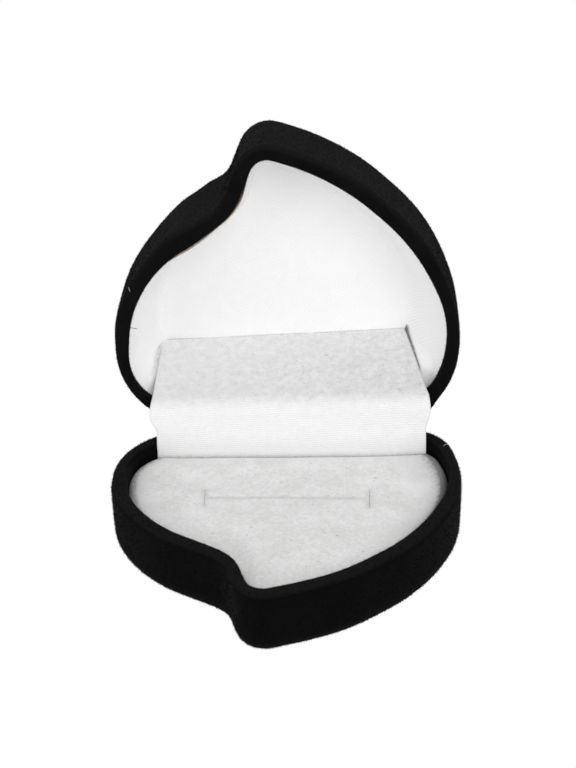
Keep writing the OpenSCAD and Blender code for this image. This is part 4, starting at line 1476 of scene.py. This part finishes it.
@dataclass(frozen=True)
class Strand:
    """One loose fibre that has settled on the box.

    Its path is in millimetres: x, distance from the back face, and height over the
    pin, with the lid shut for a fibre in the lid.
    """

    name: str
    body: Body
    radius: float
    finish: Finish
    path: tuple[tuple[float, float, float], ...]

    def build(self, pin: Pin) -> Piece:
        """Sweep a thin round section along the path, tapered at both ends."""
        knots = np.array(self.path) * MM
        at = np.linspace(0.0, 1.0, len(knots))
        even = np.linspace(0.0, 1.0, 36)
        x, back, high = (np.polyval(np.polyfit(at, knots[:, k], len(knots) - 1), even) for k in range(3))
        if self.body is Body.LID:
            back, high = pin.turned(back, high)
        line = pin.at(x, back, high)
        way = unit(np.gradient(line, axis=0))
        side = unit(np.cross(way, [0.3, -0.5, 0.8]))
        turn = np.linspace(0.0, 2.0 * np.pi, 6, endpoint=False)[None, :, None]
        width = self.radius * (0.35 + 0.65 * np.sin(np.pi * even))[:, None, None]
        around = side[:, None] * np.cos(turn) + np.cross(way, side)[:, None] * np.sin(turn)
        piece = make_piece(self.name, *loft_solid(line[:, None] + around * width), self.finish)
        return settle(piece, self.body)


STRANDS = (
    Strand("pale_fibre_base", Body.BASE, 0.06 * MM, PALE_LINT,
           ((27.6, 6.9, -0.02), (27.9, 6.75, 0.1), (28.15, 6.5, 0.1), (28.45, 6.4, -0.05))),
    Strand("pale_fibre_lid", Body.LID, 0.06 * MM, PALE_LINT,
           ((-27.8, 26.1, -0.1), (-27.95, 26.4, -0.2), (-28.0, 26.7, -0.18), (-28.2, 26.9, -0.1))),
    Strand("dark_hair_lid", Body.LID, 0.05 * MM, DARK_HAIR,
           ((-28.3, 19.3, -0.1), (-27.7, 19.2, -0.1), (-27.2, 18.9, 0.4), (-26.9, 18.6, 1.1))),
)


def dress(node: str, finish: Finish) -> None:
    """Give a CAD node that stays in view its finish."""
    mesh = frame["nodes"][node].data
    mesh.materials.clear()
    mesh.materials.append(finish.material())


# ---------------------------------------------------------------- studio
@dataclass
class Studio:
    """Camera, floor and soft light, as the box was photographed.

    A lamp is its name, its place, and its disc's width and power.
    """

    image_h: int = 768
    target: tuple[float, float, float] = (0.64 * MM, 8.5 * MM, 32.8 * MM)
    distance: float = 546.6 * MM
    elevation: float = 31.5
    azimuth: float = 2.13
    roll: float = -1.5
    pixels_per_mm: float = 5.80
    sensor: float = 36.0
    clip: tuple[float, float] = (0.01, 20.0)
    room_light: float = 0.56
    floor_half: float = 3.0
    lamps: tuple[tuple[str, tuple[float, float, float], float, float], ...] = (
        ("key", (0.32, -0.75, 0.62), 0.8, 4.7),
        ("fill", (-0.7, -0.6, 0.3), 0.6, 2.0),
    )

    @staticmethod
    def matrix(right: np.ndarray, up: np.ndarray, back: np.ndarray, place: np.ndarray) -> np.ndarray:
        """Put three axes and a place together in one matrix."""
        made = np.eye(4)
        made[:3] = np.stack([right, up, back, place], -1)
        return made

    def camera(self) -> None:
        """Make the camera at the photograph's place, its right and up turned by its roll."""
        e, a, r = (math.radians(v) for v in (self.elevation, self.azimuth, self.roll))
        back = np.array([math.sin(a) * math.cos(e), -math.cos(a) * math.cos(e), math.sin(e)])
        level = np.array([math.cos(a), math.sin(a), 0.0])
        raised = np.cross(back, level)
        right = math.cos(r) * level + math.sin(r) * raised
        up = math.cos(r) * raised - math.sin(r) * level
        data = bpy.data.cameras.new("camera")
        data.sensor_width = self.sensor
        data.lens = self.pixels_per_mm * self.distance / MM * self.sensor / self.image_h
        data.clip_start, data.clip_end = self.clip
        place = np.array(self.target) + back * self.distance
        bpy.context.scene.camera = in_scene("camera", data, self.matrix(right, up, back, place))

    def world(self) -> None:
        """Light the room evenly, and show plain white to the camera and in reflections."""
        world = bpy.data.worlds.new("room")
        bpy.context.scene.world = world
        world.use_nodes = True
        world.node_tree.nodes.clear()
        add = partial(add_node, world.node_tree)
        room, white = (
            add("Background", {"Color": linear(WHITE), "Strength": strength}) for strength in (self.room_light, 1.0)
        )
        add("OutputWorld", {"Surface": add("MixShader", {0: seen_ray(add), 1: room, 2: white})})

    def floor(self) -> None:
        """Lay the white paper that the box stands on, far larger than the view."""
        corners = np.array([[-1, -1, 0], [1, -1, 0], [1, 1, 0], [-1, 1, 0]]) * self.floor_half
        paper = StudioPaper("seamless_paper")
        make_piece("floor_paper", corners, [np.array([[0, 1, 2, 3]])], paper, closed=False)

    def light(self) -> None:
        """Hang the soft lamps, each aimed at the middle of the box."""
        for name, place, size, power in self.lamps:
            data = bpy.data.lights.new(name, "AREA")
            data.shape, data.size, data.energy = "DISK", size, power
            away = unit(np.array(place) - np.array(self.target))
            side = unit(np.cross([0.0, 0.0, 1.0], away))
            in_scene(name, data, self.matrix(side, np.cross(away, side), away, np.array(place)))

    def build(self) -> None:
        """Set up camera, room, floor and lamps."""
        bpy.context.scene.view_settings.view_transform = "Standard"
        self.camera()
        self.world()
        self.floor()
        self.light()


def main() -> None:
    """Build the box's pieces in order, report each one and set up the studio."""
    logging.basicConfig(level=logging.INFO, format="%(message)s")
    pin = Pin.from_joint(frame["joints"][0])
    outline = SwirlHeart(pin.y)
    Studio().build()
    base = FlockedShell(
        Body.BASE, outline, pin, FLOCK_BASE, height=12.7 * MM, wall=2.8 * MM, floor=2.5 * MM, edge_r=3.8 * MM,
        trims=BASE_TRIMS,
    )
    lid = FlockedShell(
        Body.LID, outline, pin, FLOCK_LID, height=18.5 * MM, wall=2.2 * MM, floor=1.4 * MM, edge_r=2.6 * MM,
        trims=LID_TRIMS, lumps=LID_LUMPS, crown_lumps=CROWN_LUMPS,
    )
    flap = HingeFlap(pin)
    pieces = [
        base.build(),
        lid.build(),
        FlockFuzz(base, 61, FUZZ_BASE, fibre_l=(0.15 * MM, 0.42 * MM)).build(),
        FlockFuzz(lid, 62, FUZZ_LID).build(),
        *RingPad(outline).build(),
        *LidLining(outline, pin, flap).build(),
        *flap.build(),
        *SnapHinge(pin).build(),
        *(strand.build(pin) for strand in STRANDS),
    ]
    for piece in pieces:
        log.info("%s: %d faces", piece.name, len(piece.data.polygons))


if __name__ == "__main__":
    main()
